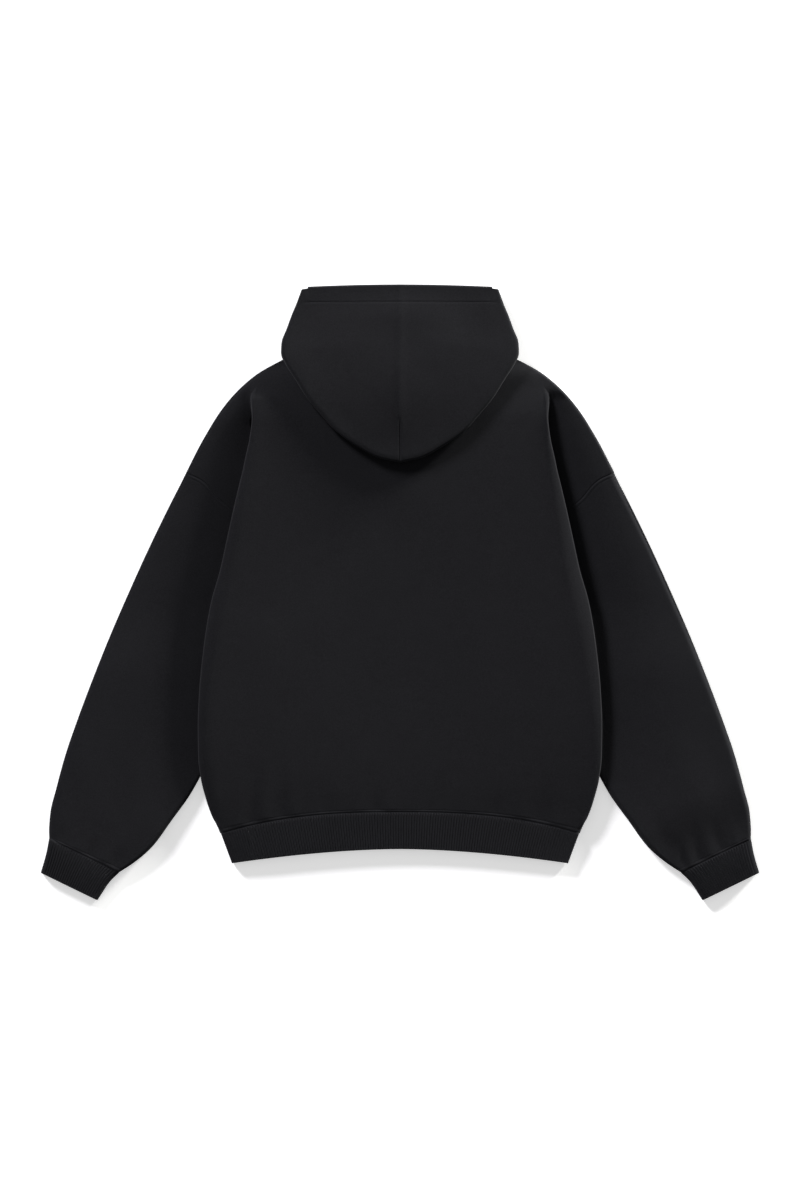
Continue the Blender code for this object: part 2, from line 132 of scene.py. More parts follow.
LOWER_ROWS = len(SHOULDER_ROWS + ARMHOLE_ROWS)  # the rows that have a lower run
HEM_SEAM = SIDE_ROWS[-1]

# Sleeve rings from the armhole to the cuff seam: ends of each flattened ring, and the
# share of the armhole's curve that it keeps.
SleeveRing = namedtuple("SleeveRing", "outer_x outer_y inner_x inner_y bow")
SLEEVE_RINGS = [SleeveRing(*row) for row in (
    (298.9, 167.3, 191.5, -10.5, 1.0), (318.5, 129.5, 194.6, -45.5, 0.7),
    (349.3, 66.5, 203.0, -80.5, 0.4), (378.0, 3.5, 215.6, -122.5, 0.15),
    (405.3, -59.5, 232.4, -167.3, 0.0), (430.5, -122.5, 253.4, -209.3, 0.0),
    (451.5, -178.5, 274.4, -248.5, 0.0), (468.3, -227.5, 294.0, -283.5, 0.0),
    (480.9, -273.7, 319.2, -318.5, 0.0), (489.3, -308.7, 347.2, -356.3, 0.0),
    (491.0, -332.5, 372.4, -378.0, 0.0), (490.7, -343.7, 392.7, -391.3, 0.0),
)]
PUFF_TOP = (-10.0, PRESSED_PLY)
PUFF_FULL = (-122.0, 2.7)

# Cuff rings: outer x and y, inner x and y, and half gap.
CUFF_RINGS = [
    (490.9, -344.2, 392.9, -391.8, 2.5),
    (494.5, -363.0, 405.0, -403.5, 2.3),
    (502.6, -391.9, 423.2, -430.5, 2.0),
]

HEM_PLY = (2.5, 1.7)
HEM_GAP = 1.5 * SEAM_GAP  # between the body's seam and the hem's
HEM_BOTTOM_Y = -358.7
HEM_BOTTOM_DROP = 20.0
HEM_BOTTOM_X = 235.2
HEM_BOTTOM_POWER = 1.75

# Hood, half of it, from the crown's tip round its outline to the corner of the rim.
HoodColumn = namedtuple("HoodColumn", "x y rim_x")
HOOD_COLUMNS = [HoodColumn(*row) for row in (
    (0.0, 181.3, 0.0), (27.2, 186.9, 12.6), (58.8, 203.0, 26.6),
    (91.0, 226.1, 40.6), (112.0, 249.5, 53.2), (129.4, 270.3, 64.4),
    (147.0, 298.2, 74.2), (160.3, 319.2, 84.0), (166.3, 333.9, 92.4),
    (165.6, 349.3, 100.8), (158.9, 367.5, 109.2), (151.2, 388.5, 116.9),
    (144.2, 405.3, 123.2), (137.9, 422.1, 128.8),
)]
RIM_Y = 430.1
RIM_DROP = 3.0
HOOD_ON_BACK = 3.2
HOOD_CORNER_OUT = (0.875, -0.485)  # way that the side fold faces at the rim's corner
RIM_FOLD_RADIUS = 1.5
RIM_HEM = 24.8
RIM_HEM_COLUMNS = 12
SHORT_HEM = 0.15  # share of the turned hem's depth past those columns
HOOD_JOIN_POWER = 6  # how late the upper layer comes to its side's own height
HOOD_NECK_SHARE = 0.985  # of the neck's half width, before the cheek starts
NECK_LAP = 6.0
FIRST_CHEEK = 8
CheekRow = namedtuple("CheekRow", "neck_x neck_y rim_x rim_y")
CHEEK_ROWS = [CheekRow(*row) for row in (
    (84.0, 361.9, 64.4, 366.1), (88.9, 346.0, 51.8, 352.1),
    (61.3, 297.1, 39.2, 336.7), (30.8, 270.7, 14.0, 305.9),
    (0.6, 263.2, 0.6, 282.1),
)]
CHEEK_LEVEL = 1.2
CHEEK_PARTS = (0.0, 0.35, 0.7, 1.0)  # heights of the cheek at these shares of its way
CHEEK_FALL = {
    8: [5.8, 6.6, 6.8, 7.0],
    9: [2.8, 3.6, 4.4, 5.2],
    10: [1.2, 1.8, 2.6, 3.2],
    11: [1.2, 1.2, 1.6, 1.8],
}

# ---- loft of the cloth
# Height of the back panel's middle surface: y, at the centre, and at the folded side.
BODY_LOFT = [
    (345.0, 8.0, 6.5), (318.0, 11.2, 9.8), (287.0, 13.4, 13.6), (240.0, 14.6, 17.6),
    (120.0, 14.6, 18.8), (-20.0, 14.2, 18.8), (-150.0, 13.2, 17.2), (-235.0, 12.2, 14.8),
    (-286.0, 11.2, 12.6), (-312.0, 10.6, 11.2), (-336.7, 9.9, 10.0),
]
HOOD_MOUND = (1.8, 95.0, 85.0, 230.0)  # under the hood: height, half width, half length, y
FOLD_REACH_SHARE = 0.30  # of the pressed fold's reach, for a crisper edge,
EASED_IN = 30.0  # gained over this width of the panel inside it

# lift: the body curls up by this towards its side.  drop: its fold rounds off by this over
# drop_width, or stands up in a lip where that is negative.  loft: the sleeve's.  climb:
# width over which the sleeve climbs out from under the body.  edge: width over which the
# sleeve's outer edge rounds off.
Side = namedtuple("Side", "lift drop drop_width loft climb edge")
SIDES = {
    "left": Side(3.0, 2.4, 18.0, 4.0, 96.0, 56.0),
    "right": Side(1.2, -0.8, 8.0, 8.4, 150.0, 2.5),
}
LIFT_POWER = 10.0  # of the way from the centre to the side
LIFT_LEVELS = (9.0, 17.0)  # heights of the side where the lift starts and is whole
DROP_LEVELS = (8.0, 14.0)  # and where the drop does
FOLD_TOP_Y = 283.0  # where the side fold starts,
FIRST_FOLDED = 3  # and the first of the body's rows that has it
TIP_LOFT, TIP_LENGTH = 8.0, 60.0  # loft beside the fold's start, and its stretch
CLIMB_SHARE = 0.85  # the climb takes no more than this share of the way to the outline
CLIMB_SLOPE = 0.11  # and is no higher than this share of it
INNER_WIDTH, INNER_START = 2.0, 0.5  # the sleeve's inner edge rounds off over this, from outside it
CUFF_END_LOFT, CUFF_END_WIDTH = 3.1, 90.0  # the sleeve's loft at the cuff seam, and its stretch
LEAST_ROOM = 1.0  # of the way to the outline, where the two meet

NECK_EASE = 45.0  # the loft comes in over this far from the shoulder
FOLDED_TURN = 45.0  # degrees of turn that make a whole fold
UNDER_TURN = (110.0, 170.0)  # degrees of turn over which the loft's base moves under the fold
LEAST_HEIGHT = 0.2  # of a fold whose loft stretches it upwards
HEM_HELD = 5.0  # creases come in over this far from the hem's seam
FRONT_CREASES = 0.4  # share of their depth on the front panel

ARMHOLE_GAP = (1.2 * SEAM_GAP, -0.55 * SEAM_GAP)  # x and y from the body's seam to the sleeve's,
UNDERARM_POWER = 4  # and how late UNDERARM_EASE comes in on the way down it
ARMHOLE_FADE = 20.0  # the sleeve's rings lose the seam's own curve over this
SLEEVE_HELD = 8.0  # creases come in over this far from the armhole
CUFF_HELD = 4.0  # and this far from the cuff
FULL_CREASE_LOFT = 2.0  # loft that lets a crease be whole
SIDE_REACH = 0.8  # a pressed fold stands out no further than this
TUCK, TUCK_DROP = 0.9, 0.55  # a piece passes this far under the edge that it is sewn to, lower by this

HEM_TOP_LEVEL, HEM_FREE_LEVEL = 9.7, 9.6  # the hem's upper middle surface at its two edges
HEM_CORNER_DROP, HEM_CORNER_POWER = 0.35, 8  # share of that lost at the free edge's corners
HEM_START_SHARE = 0.15  # of the way between the edges' levels, at the seam
CUFF_TOP_LEVEL = 9.2  # the cuff's upper middle surface along its seam
CUFF_LOFT = 2.6  # at its free edge
CUFF_ROUND_POWER = 0.12  # low, so that the loft is whole close to the cuff's sides

HOOD_LAYERS = 5.2  # middle to middle of the hood's two layers
HOOD_OFF_BODY = 16.5  # upper layer at the rim, past the neckline
HOOD_FALL = (250.0, 430.0)  # it falls to that height from here to the rim
HOOD_REACH = 2.2  # its side fold stands out no further than this
HOOD_LOFT, HOOD_LOFT_WIDTH = 4.8, 130.0  # of the upper layer, so far inside its outline
RIM_FLAT, RIM_FLAT_Y = 0.6, (380.0, 430.0)  # share of the loft lost towards the rim
HOOD_EDGE_DROP, HOOD_EDGE_WIDTH = 0.15, 8.0
RIDGE, RIDGE_WIDTH, RIDGE_Y = 0.6, 7.0, (200.0, 260.0)  # along the crown seam, and where it fades in
RIM_GROOVE, RIM_GROOVE_WIDTH = 0.35, 0.9  # along the rim's stitches
SEAM_START_Y = 240.1  # the open crown seam runs from here to the tip
SLIT_DEPTH, SLIT_WIDTH = 1.0, 1.3
SLIT_ROWS = 3  # the upper layer's first rows are never slit
SLIT_BEFORE, SLIT_FADE = 6.0, 14.0  # it starts so far above, and comes in over this

# ---- fineness
MAIN_STEPS, RAMP_STEPS, KNEE_STEPS = 30, 16, 4
TURN_STEPS, FLAP_STEPS = 8, 6
MAIN_COLUMNS = MAIN_STEPS + RAMP_STEPS + KNEE_STEPS + 1
SHORT_COLUMNS = MAIN_COLUMNS + TURN_STEPS + FLAP_STEPS
LEAST_MAIN = 20.0  # the panel's flat middle is at least this wide
SHOULDER_SPLIT = 0.4  # share of a shoulder row's end that the fold's columns take
EDGE_MARK, EDGE_MARKS = 0.6, 12  # the last columns before an edge that is sewn
SEAM_ZONE = EDGE_MARK * EDGE_MARKS
FREE_ZONE = 2.4  # close rows at a rib's free edge
LOWER_STEPS = 22
SLEEVE_COLUMNS = 64
ROW_STEP = 5.0
CORNER_STEP = 1.6  # where the armhole runs almost along the rows,
CORNER_ROWS = 2  # which is over this many of the table's
CUFF_STEP, HEM_STEP = 2.6, 3.2
OUTLINE_STEP = 8.0
CUFF_LINE_STEP = 4.0
HOOD_STEP, HOOD_CHEEK_STEP, HOOD_CROWN_ZONE = 4.0, 3.0, 9.0
HOOD_RIM_STEPS, HOOD_TOP_STEPS, HOOD_LOW_STEPS = 26, 38, 12
HOOD_RIM_ZONE, HOOD_RIM_SHARE = 32.0, 0.55  # the rim's rows: so deep, or this share if less
CHEEK_STEPS = 5
HOOD_TOP_ROW = 2 * TURN_STEPS  # where the upper layer starts
HOOD_TURN_ROW = HOOD_TOP_ROW + HOOD_RIM_STEPS + HOOD_TOP_STEPS
HOOD_EDGE_ROW = HOOD_TURN_ROW + TURN_STEPS // 2
HOOD_ROWS = HOOD_TURN_ROW + TURN_STEPS + HOOD_LOW_STEPS + 1


def ease(t):
    """Smooth step from 0 to 1."""
    t = np.clip(t, 0.0, 1.0)
    return t * t * (3.0 - 2.0 * t)


def between(value, start, end):
    """Smooth step from 0 at the start to 1 at the end."""
    return ease((value - start) / (end - start))


def mix(a, b, t):
    return a + (b - a) * t


def rounded(d, width):
    """0 at an edge, rising steeply from it and level from a width inside it."""
    t = np.clip(d / width, 0.0, 1.0)
    return np.sqrt(1.0 - (1.0 - t) ** 2)


def bump(d, width):
    """Soft bump of height 1 that fades out over about twice its width."""
    return np.exp(-(d / width) ** 2)


def unit(vectors):
    return vectors / np.linalg.norm(vectors, axis=-1, keepdims=True)


def running_length(grid):
    """Length along a grid's first axis up to each row, averaged over the second."""
    steps = np.sqrt((np.diff(grid, axis=0) ** 2).sum(-1))
    if steps.ndim > 1:
        steps = steps.mean(axis=1)
    return np.concatenate([[0.0], np.cumsum(steps)])


def smooth_at(values, knots, at):
    """Values at places along the knots, on a smooth curve with no bumps of its own."""
    values = np.asarray(values, float)
    shape = (-1,) + (1,) * (values.ndim - 1)
    widths = np.diff(knots).reshape(shape)
    rates = np.diff(values, axis=0) / widths
    slopes = np.empty_like(values)
    slopes[0], slopes[-1] = rates[0], rates[-1]
    before, after = rates[:-1], rates[1:]
    same = before * after > 0
    near, far = 2 * widths[1:] + widths[:-1], widths[1:] + 2 * widths[:-1]
    mean = (near + far) / (near / np.where(same, before, 1.0) + far / np.where(same, after, 1.0))
    slopes[1:-1] = np.where(same, mean, 0.0)
    at = np.asarray(at, float)
    i = np.clip(np.searchsorted(knots, at, side="right") - 1, 0, len(knots) - 2)
    h = (knots[i + 1] - knots[i]).reshape(shape)
    t = (at - knots[i]).reshape(shape) / h
    start = (1 + 2 * t) * values[i] + t * h * slopes[i]
    end = (3 - 2 * t) * values[i + 1] - (1 - t) * h * slopes[i + 1]
    return (1 - t) ** 2 * start + t ** 2 * end


def stations(start, end, step, near_start=0.0, near_end=0.0):
    """Places from start to end, a step apart and closer together near the ends."""
    places = [start]
    stops = ((start + near_start, EDGE_MARK), (end - near_end, step), (end, EDGE_MARK))
    for stop, apart in stops:
        count = int(round((stop - places[-1]) / apart))
        places += np.linspace(places[-1], stop, count + 1)[1:].tolist()
    return np.array(places)


def tucked(places):
    """The places of a tube's rings, with one more that passes under the edge it is sewn to."""
    return np.concatenate([[-TUCK], places])


def smooth_line(points, step):
    """A line of (x, y) run finer."""
    points = np.asarray(points, float)
    knots = running_length(points)
    return smooth_at(points, knots, stations(0.0, knots[-1], step))


def line_at(line, places):
    """Points of a line of (x, y) at lengths along it."""
    length = running_length(line)
    return np.stack([np.interp(places, length, line[:, k]) for k in (0, 1)], -1)


def from_segment(x, y, x1, y1, x2, y2):
    """Share of a segment at its place nearest to each point, and the distance to it."""
    dx, dy = x2 - x1, y2 - y1
    t = np.clip(((x - x1) * dx + (y - y1) * dy) / (dx * dx + dy * dy), 0.0, 1.0)
    return t, np.hypot(x - x1 - t * dx, y - y1 - t * dy)


def distance_to(x, y, line):
    """Distance in plan from each point to a line of (x, y)."""
    best = np.full(np.shape(x), np.inf)
    for start, end in zip(line, line[1:]):
        best = np.minimum(best, from_segment(x, y, *start, *end)[1])
    return best


# ---- outlines that shapes refer to
OUTLINE = smooth_line([(r.end_x, r.y) for r in SHOULDER_ROWS]
                      + [(r.outer_x, r.outer_y) for r in SLEEVE_RINGS], OUTLINE_STEP)
SLEEVE_INNER = smooth_line([(r.inner_x, r.inner_y) for r in SLEEVE_RINGS], OUTLINE_STEP)
CUFF_SEAM = [(SLEEVE_RINGS[-1].outer_x, SLEEVE_RINGS[-1].outer_y),
             (SLEEVE_RINGS[-1].inner_x, SLEEVE_RINGS[-1].inner_y)]
FOLD_LINE = np.array([(r.y, r.fold_x) for r in BODY_ROWS[FIRST_FOLDED - 1:]][::-1])


def outer_loft(x, y, side):
    """Extra height of the cloth beside the body: lower run and sleeve."""
    edge = rounded(distance_to(x, y, OUTLINE), side.edge)
    fold = np.interp(y, FOLD_LINE[:, 0], FOLD_LINE[:, 1])
    room = np.maximum(np.interp(-y, -OUTLINE[:, 1], OUTLINE[:, 0]) - fold, LEAST_ROOM)
    width = np.minimum(CLIMB_SHARE * room, side.climb)
    loft = mix(side.loft, TIP_LOFT, bump(np.maximum(FOLD_TOP_Y - y, 0.0), TIP_LENGTH))
    rise = np.minimum(CLIMB_SLOPE * room, loft)
    out = np.clip((x - fold) / width, 0.0, 1.0)
    return edge * (loft - rise * (1.0 - out) ** 2)


# ---- creases
# Soft troughs (depth < 0) and ridges (depth > 0): x and y of both ends, width and depth.
CREASE_HEIGHT = 0.6  # of the depths below
CREASE_FADE = 0.75  # share of its depth that a crease loses on its way
BODY_CREASES = [
    (-226, -322, -214, -262, 9, 1.1), (-208, -316, -203, -250, 8, -1.2),
    (-190, -312, -186, -236, 10, 1.3), (-166, -308, -164, -258, 8, -0.9),
    (-148, -306, -146, -262, 9, 0.8), (-104, -304, -106, -268, 9, -0.6),
    (-60, -304, -61, -272, 8, 0.5), (-34, -304, -36, -254, 9, -1.0),
    (-12, -304, -13, -276, 8, 0.6), (36, -304, 37, -280, 9, -0.5),
    (92, -305, 95, -268, 9, 0.5), (132, -308, 136, -270, 10, -0.7),
    (170, -310, 176, -250, 10, 0.8), (196, -314, 206, -262, 9, -0.9),
    (222, -322, 232, -280, 8, 0.8), (-120, 60, -40, -150, 46, -0.8),
    (60, 120, 150, -120, 52, 0.8), (-186, -60, -176, -200, 30, 0.7),
    (150, -20, 176, -190, 34, -0.7), (10, 150, 20, 60, 36, 0.9),
]
SLEEVE_CREASES = {
    "right": [
        (396, -378, 388, -352, 5, -1.3), (404, -380, 402, -346, 6, 1.1),
        (418, -372, 412, -340, 6, -1.2), (434, -364, 420, -318, 8, 0.9),
        (450, -356, 436, -322, 7, -0.8), (470, -348, 462, -316, 7, 0.6),
        (374, -352, 350, -300, 13, -1.0), (420, -300, 372, -190, 26, 0.9),
        (448, -260, 404, -120, 24, -0.7), (330, 60, 300, -60, 22, 0.7),
    ],
    "left": [
        (398, -380, 392, -356, 5, -0.9), (414, -374, 408, -348, 6, 0.8),
        (432, -366, 424, -334, 7, -0.8), (452, -357, 442, -330, 7, 0.7),
        (474, -346, 468, -322, 7, -0.6), (380, -356, 352, -308, 14, 0.8),
        (404, -290, 360, -200, 26, -0.8), (440, -240, 400, -100, 25, 0.7),
        (300, 140, 282, 60, 12, -0.6), (322, 40, 292, -70, 24, -0.6),
    ],
}
HOOD_CREASES = [
    (-110, 392, -70, 300, 26, 0.8), (84, 396, 104, 318, 22, -0.8),
    (122, 402, 128, 360, 12, 0.8), (-40, 396, -30, 330, 24, -0.6),
    (44, 300, 66, 236, 20, -0.7), (-64, 262, -24, 206, 18, 0.6),
]


def creased(x, y, creases):
    """Height that the creases add at each point."""
    height = np.zeros(np.shape(x))
    for *ends, width, depth in creases:
        along, across = from_segment(x, y, *ends)
        height += CREASE_HEIGHT * depth * (1.0 - CREASE_FADE * ease(along)) * bump(across, width)
    return height


# ---- relief along a seam
# The cut edge turns in, its turnings lift the cloth, and the stitches press it down, as
# bumps: height, distance from the seam, and width.
FLEECE_STITCH, ARMHOLE_STITCH = 3.9, 4.5  # from the seam
FLEECE_RELIEF = ((-0.3, 0.0, 0.9), (0.12, 1.9, 1.1), (-0.2, FLEECE_STITCH, 0.8))
SLEEVE_RELIEF = ((-0.5, 0.0, 0.9), (0.2, 1.9, 1.1), (-0.15, ARMHOLE_STITCH, 0.8))
BODY_RELIEF = ((-0.4, 0.0, 0.9),)
RIB_RELIEF = ((-0.3, 0.0, 0.8),)
FAR_OFF = 99.0  # a distance that no relief reaches


def relief(d, bumps):
    """Height that a seam adds at each distance from it."""
    return sum(height * bump(d - place, width) for height, place, width in bumps)


# ---- the body
def neck_y(x, depth, power):
    inside = NECK_Y - depth * (1.0 - (np.minimum(x, NECK_X) / NECK_X) ** power)
    beyond = NECK_Y + (SHOULDER_Y - NECK_Y) * (x - NECK_X) / (SHOULDER_X - NECK_X)
    return np.where(x <= NECK_X, inside, beyond)


def back_neck_y(x):
    return neck_y(x, BACK_NECK_DEPTH, BACK_NECK_POWER)


def edge_marks(start, end, count, slant=1.0):
    """Places from start to end, the last of them close together before the end."""
    zone = min(SEAM_ZONE * slant, 0.5 * (end - start))
    close = end - zone * np.arange(EDGE_MARKS, -1, -1) / EDGE_MARKS
    wide = np.linspace(start, close[0], count - EDGE_MARKS + 1)[:-1]
    return np.concatenate([wide, close])[1:]


def main_run(row):
    """Middle line across half of the body, as rows of (x, z, half gap)."""
    centre = row.fold_x - FOLD_REACH
    knee = centre - row.flap - KNEE
    start = max(knee - RAMP, LEAST_MAIN)
    share = np.linspace(0.0, 1.0, RAMP_STEPS + 1)[1:]
    x = np.concatenate([np.linspace(0.0, start, MAIN_STEPS + 1), mix(start, knee, share),
                        np.linspace(knee, centre, KNEE_STEPS + 1)[1:]])
    rise = between(x, start, knee)
    return np.stack([x, mix(BODY_LEVEL, row.main_z, rise), mix(LOOSE_PLY, PRESSED_PLY, rise)], -1)


def bend(section, angles, radius, ply):
    """Carry a section on round a bend, at each of the angles that it turns through."""
    x, z = section[-1][:2]
    for a in angles[1:]:
        section.append((x + radius * (math.sin(a) - math.sin(angles[0])),
                        z - radius * (math.cos(angles[0]) - math.cos(a)),
                        math.sin(a), math.cos(a), ply))


def body_section(row, seamed, slant):
    """Half section of the body: (x, z, normal x, normal z, half gap) for each column."""
    section = [(x, z, 0.0, 1.0, gap) for x, z, gap in main_run(row)]
    x, z = section[-1][:2]
    lower = row.end_x is not None
    if row.turn == 0:
        flat = TURN_STEPS + FLAP_STEPS
        places = edge_marks(x, row.fold_x, flat)
        if lower:
            middle = mix(x, row.end_x, SHOULDER_SPLIT)
            places = np.concatenate([np.linspace(x, middle, flat + TURN_STEPS + 1)[1:],
                                     edge_marks(middle, row.end_x, LOWER_STEPS, slant)])
    else:
        turn = math.radians(row.turn)
        radius = SIDE_FOLD_RADIUS
        ply = PRESSED_PLY if row.turn == 180 else TURNING_PLY
        if lower:
            fall = z - LOWEST_LINE - row.flap * math.sin(turn)
            radius = fall / (2.0 * (1.0 - math.cos(turn)))
        bend(section, [turn * step / TURN_STEPS for step in range(TURN_STEPS + 1)], radius, ply)
        x, z = section[-1][:2]
        for step in range(1, FLAP_STEPS + 1):
            run = row.flap * step / FLAP_STEPS
            section.append((x + run * math.cos(turn), z - run * math.sin(turn),
                            math.sin(turn), math.cos(turn), ply))
        places = []
        if lower:
            back = [turn * (1.0 - step / TURN_STEPS) for step in range(TURN_STEPS + 1)]
            bend(section, back, -radius, ply)
            x, z = section[-1][:2]
            places = edge_marks(x, row.end_x, LOWER_STEPS, slant)
    section += [(place, z, 0.0, 1.0, PRESSED_PLY) for place in places]
    section = np.array(section)
    if seamed:
        near = ease((EDGE_MARKS - np.arange(len(section))[::-1]) / EDGE_MARKS)
        section[:, 4] = mix(section[:, 4], SEAM_PLY, near)
    return section


def body_table_points(face):
    """The table's rows as points of the back (+1) or front (-1) panel's middle surface."""
    rows = []
    for number, row in enumerate(BODY_ROWS):
        slant = 1.0
        if row in ARMHOLE_ROWS[:-1]:
            after = BODY_ROWS[number + 1]
            slant = math.hypot(row.end_x - after.end_x, row.y - after.y) / (row.y - after.y)
        x, z, nx, nz, gap = body_section(row, row not in ARMHOLE_ROWS, slant).T
        y = row.y + row.rise * (1.0 - np.minimum(x / row.fold_x, 1.0) ** END_CURVE)
        if number == 0:
            y = back_neck_y(x)
        if face < 0:
            deeper = back_neck_y(x) - neck_y(x, FRONT_NECK_DEPTH, FRONT_NECK_POWER)
            y = np.where(x < NECK_X, y - row.dip * deeper, y)
        rows.append(np.stack([x + face * gap * nx, y, z + face * gap * nz], -1))
    return rows


def lofted(x, y, row_y, fold, folded, side):
    """Height of the back panel's main run once it is fuller than its pressed form."""
    table = np.array(BODY_LOFT)[::-1]
    centre, beside = smooth_at(table[:, 1:], table[:, 0], row_y).T[..., None]
    curl = side.lift * folded * (x / fold) ** LIFT_POWER * between(beside, *LIFT_LEVELS)
    edge = np.clip(1.0 - (fold - x) / side.drop_width, 0.0, 1.0) ** 2
    edge *= side.drop * folded * between(beside, *DROP_LEVELS)
    height, wide, long, middle = HOOD_MOUND
    mound = height * bump(x, wide) * bump(y - middle, long)
    return mix(centre, beside, ease(x / fold)) + curl - edge + mound


def sharper(x, fold, folded):
    """How far each point moves out, so that the fold turns within a smaller reach."""
    reach = FOLD_REACH - FLEECE_WALL / 2
    out = (1.0 - FOLD_REACH_SHARE) * folded
    inside = out * reach * ease((x - fold + reach + EASED_IN) / EASED_IN)
    return np.where(x > fold - reach, out * np.maximum(fold - x, 0.0), inside)


def body_half(face, side):
    """Half of the back (+1) or front (-1) panel as a fine grid.

    Rows below the armhole have no lower run, so their last columns are empty.
    """
    table = body_table_points(face)
    short = np.array([row[:SHORT_COLUMNS] for row in table])
    extra = np.array([row[SHORT_COLUMNS:] for row in table[:LOWER_ROWS]])
    knots = running_length(short[:, :MAIN_COLUMNS])
    corner_row = len(SHOULDER_ROWS)
    corner, below_corner, change = knots[[corner_row, corner_row + CORNER_ROWS, LOWER_ROWS - 1]]
    at = np.concatenate([stations(0.0, corner, ROW_STEP, near_end=SEAM_ZONE)[:-1],
                         stations(corner, below_corner, CORNER_STEP)[:-1],
                         stations(below_corner, change, ROW_STEP)[:-1],
                         stations(change, knots[-1], ROW_STEP, near_end=SEAM_ZONE)])
    upper = at <= change
    shoulder = at < corner
    armhole_rows = upper & ~shoulder
    grid = np.full((len(at), SHORT_COLUMNS + extra.shape[1], 3), np.nan)
    grid[:, :SHORT_COLUMNS] = smooth_at(short, knots, at)
    for rows, part in ((shoulder, slice(corner_row + 1)), (armhole_rows, slice(corner_row, LOWER_ROWS))):
        grid[rows, SHORT_COLUMNS:] = smooth_at(extra[part], knots[part], at[rows])
    turn = smooth_at([[row.turn] for row in BODY_ROWS], knots, at)
    upper = upper[:, None]
    x, y, z = grid[..., 0], grid[..., 1], grid[..., 2]

    fold = x[:, :SHORT_COLUMNS].max(axis=1)[:, None]
    folded = ease(turn / FOLDED_TURN)
    x += sharper(x, fold, folded)
    row_y = y[:, MAIN_COLUMNS - 1]
    rise = lofted(x, y, row_y, fold, folded, side) - (z if face > 0 else z + 2.0 * PRESSED_PLY)
    free = rounded(distance_to(x, y, OUTLINE), side.edge) * ease(at / NECK_EASE)[:, None]
    low_end = rounded(np.maximum(fold - x, 0.0), FOLD_REACH)
    lift = np.zeros(x.shape)
    main, rest = np.s_[:, :MAIN_COLUMNS], np.s_[:, MAIN_COLUMNS:]
    last = np.s_[:, MAIN_COLUMNS - 1:MAIN_COLUMNS]
    lift[main] = rise[main] * np.where(upper, np.maximum(free[main], folded), 1.0)

    # the fold is stretched upwards from its lower side
    lowest = np.nanmin(z[rest], axis=1)[:, None]
    under = z[:, MAIN_COLUMNS + TURN_STEPS - 1, None]
    base = mix(lowest, under, between(turn, *UNDER_TURN))
    stretch = np.clip((z[rest] - base) / np.maximum(z[last] - base, LEAST_HEIGHT), 0.0, 1.0)
    stretched = lift[last] * stretch
    if face > 0:
        loft = outer_loft(x, y, side)[rest]
        stretched = np.where(loft > np.maximum(stretched, 0.0), loft, stretched)
    unfolded = rise[rest] * np.where(upper, free, low_end)[rest]
    lift[rest] = mix(unfolded, stretched, folded)
    if face < 0:
        lift = np.minimum(lift, 0.0)
    grid[..., 2] += np.where(np.isnan(lift), 0.0, lift)

    armhole = grid[armhole_rows, -1, :2]
    to_hem = knots[-1] - at
    close = ~np.isnan(x)
    close[:, :SHORT_COLUMNS + TURN_STEPS] = False
    seams = np.zeros(x.shape)
    seams[close] = relief(distance_to(x[close], y[close], armhole), BODY_RELIEF)
    seams[:, :SHORT_COLUMNS] += relief(to_hem, FLEECE_RELIEF)[:, None]
    grid[..., 2] += face * seams
    return grid, armhole, to_hem


def mirrored(half):
    """A copy of half a grid on the wearer's left."""
    other = half.copy()
    other[..., 0] *= -1.0
    return other


def body_panel(face):
    """Both halves of a panel, creased; they share column 0."""
    half, armhole, to_hem = body_half(face, SIDES["right"])
    halves = [half, mirrored(body_half(face, SIDES["left"])[0])]
    depth = 1.0 if face > 0 else FRONT_CREASES
    for grid in halves:
        main = grid[:, :MAIN_COLUMNS]
        held = ease(to_hem / HEM_HELD)[:, None]
        main[..., 2] += depth * held * creased(main[..., 0], main[..., 1], BODY_CREASES)
    return halves, armhole


def level_lookup(grid):
    """Height of a panel's main run above any (x, y), read from its fine grid."""
    rows = grid[:, :MAIN_COLUMNS]
    heights_y = -rows[:, 0, 1]

    def level(x, y):
        heights = np.array([np.interp(x, row[:, 0], row[:, 2]) for row in rows])
        return float(np.interp(-y, heights_y, heights))

    return level


# ---- sleeves and cuffs
def flattened_ring(line, base, ply, wall, lift, inset=0.0):
    """Closed ring through a line of (x, y), pressed flat: over, round, back under, round."""
    length = running_length(line)[-1]
    reach = wall / 2 + inset + min(ply[0], ply[-1], SIDE_REACH)
    line = line_at(line, np.linspace(reach, length - reach, len(line)))
    upper = np.column_stack([line, base + 2.0 * ply + lift])
    lower = np.column_stack([line, np.full(len(line), base)])
    a = math.pi * np.arange(1, TURN_STEPS) / TURN_STEPS

    def turn(end, before):
        way = unit(line[end] - line[before])
        out = line[end] + min(ply[end], SIDE_REACH) * np.sin(a)[:, None] * way
        rise = base + ply[end] * (1.0 + np.cos(a)) + lift[end] * np.clip(np.cos(a), 0.0, 1.0)
        return np.column_stack([out, rise])

    return np.concatenate([upper, turn(-1, -2), lower[::-1], turn(0, 1)[::-1]])


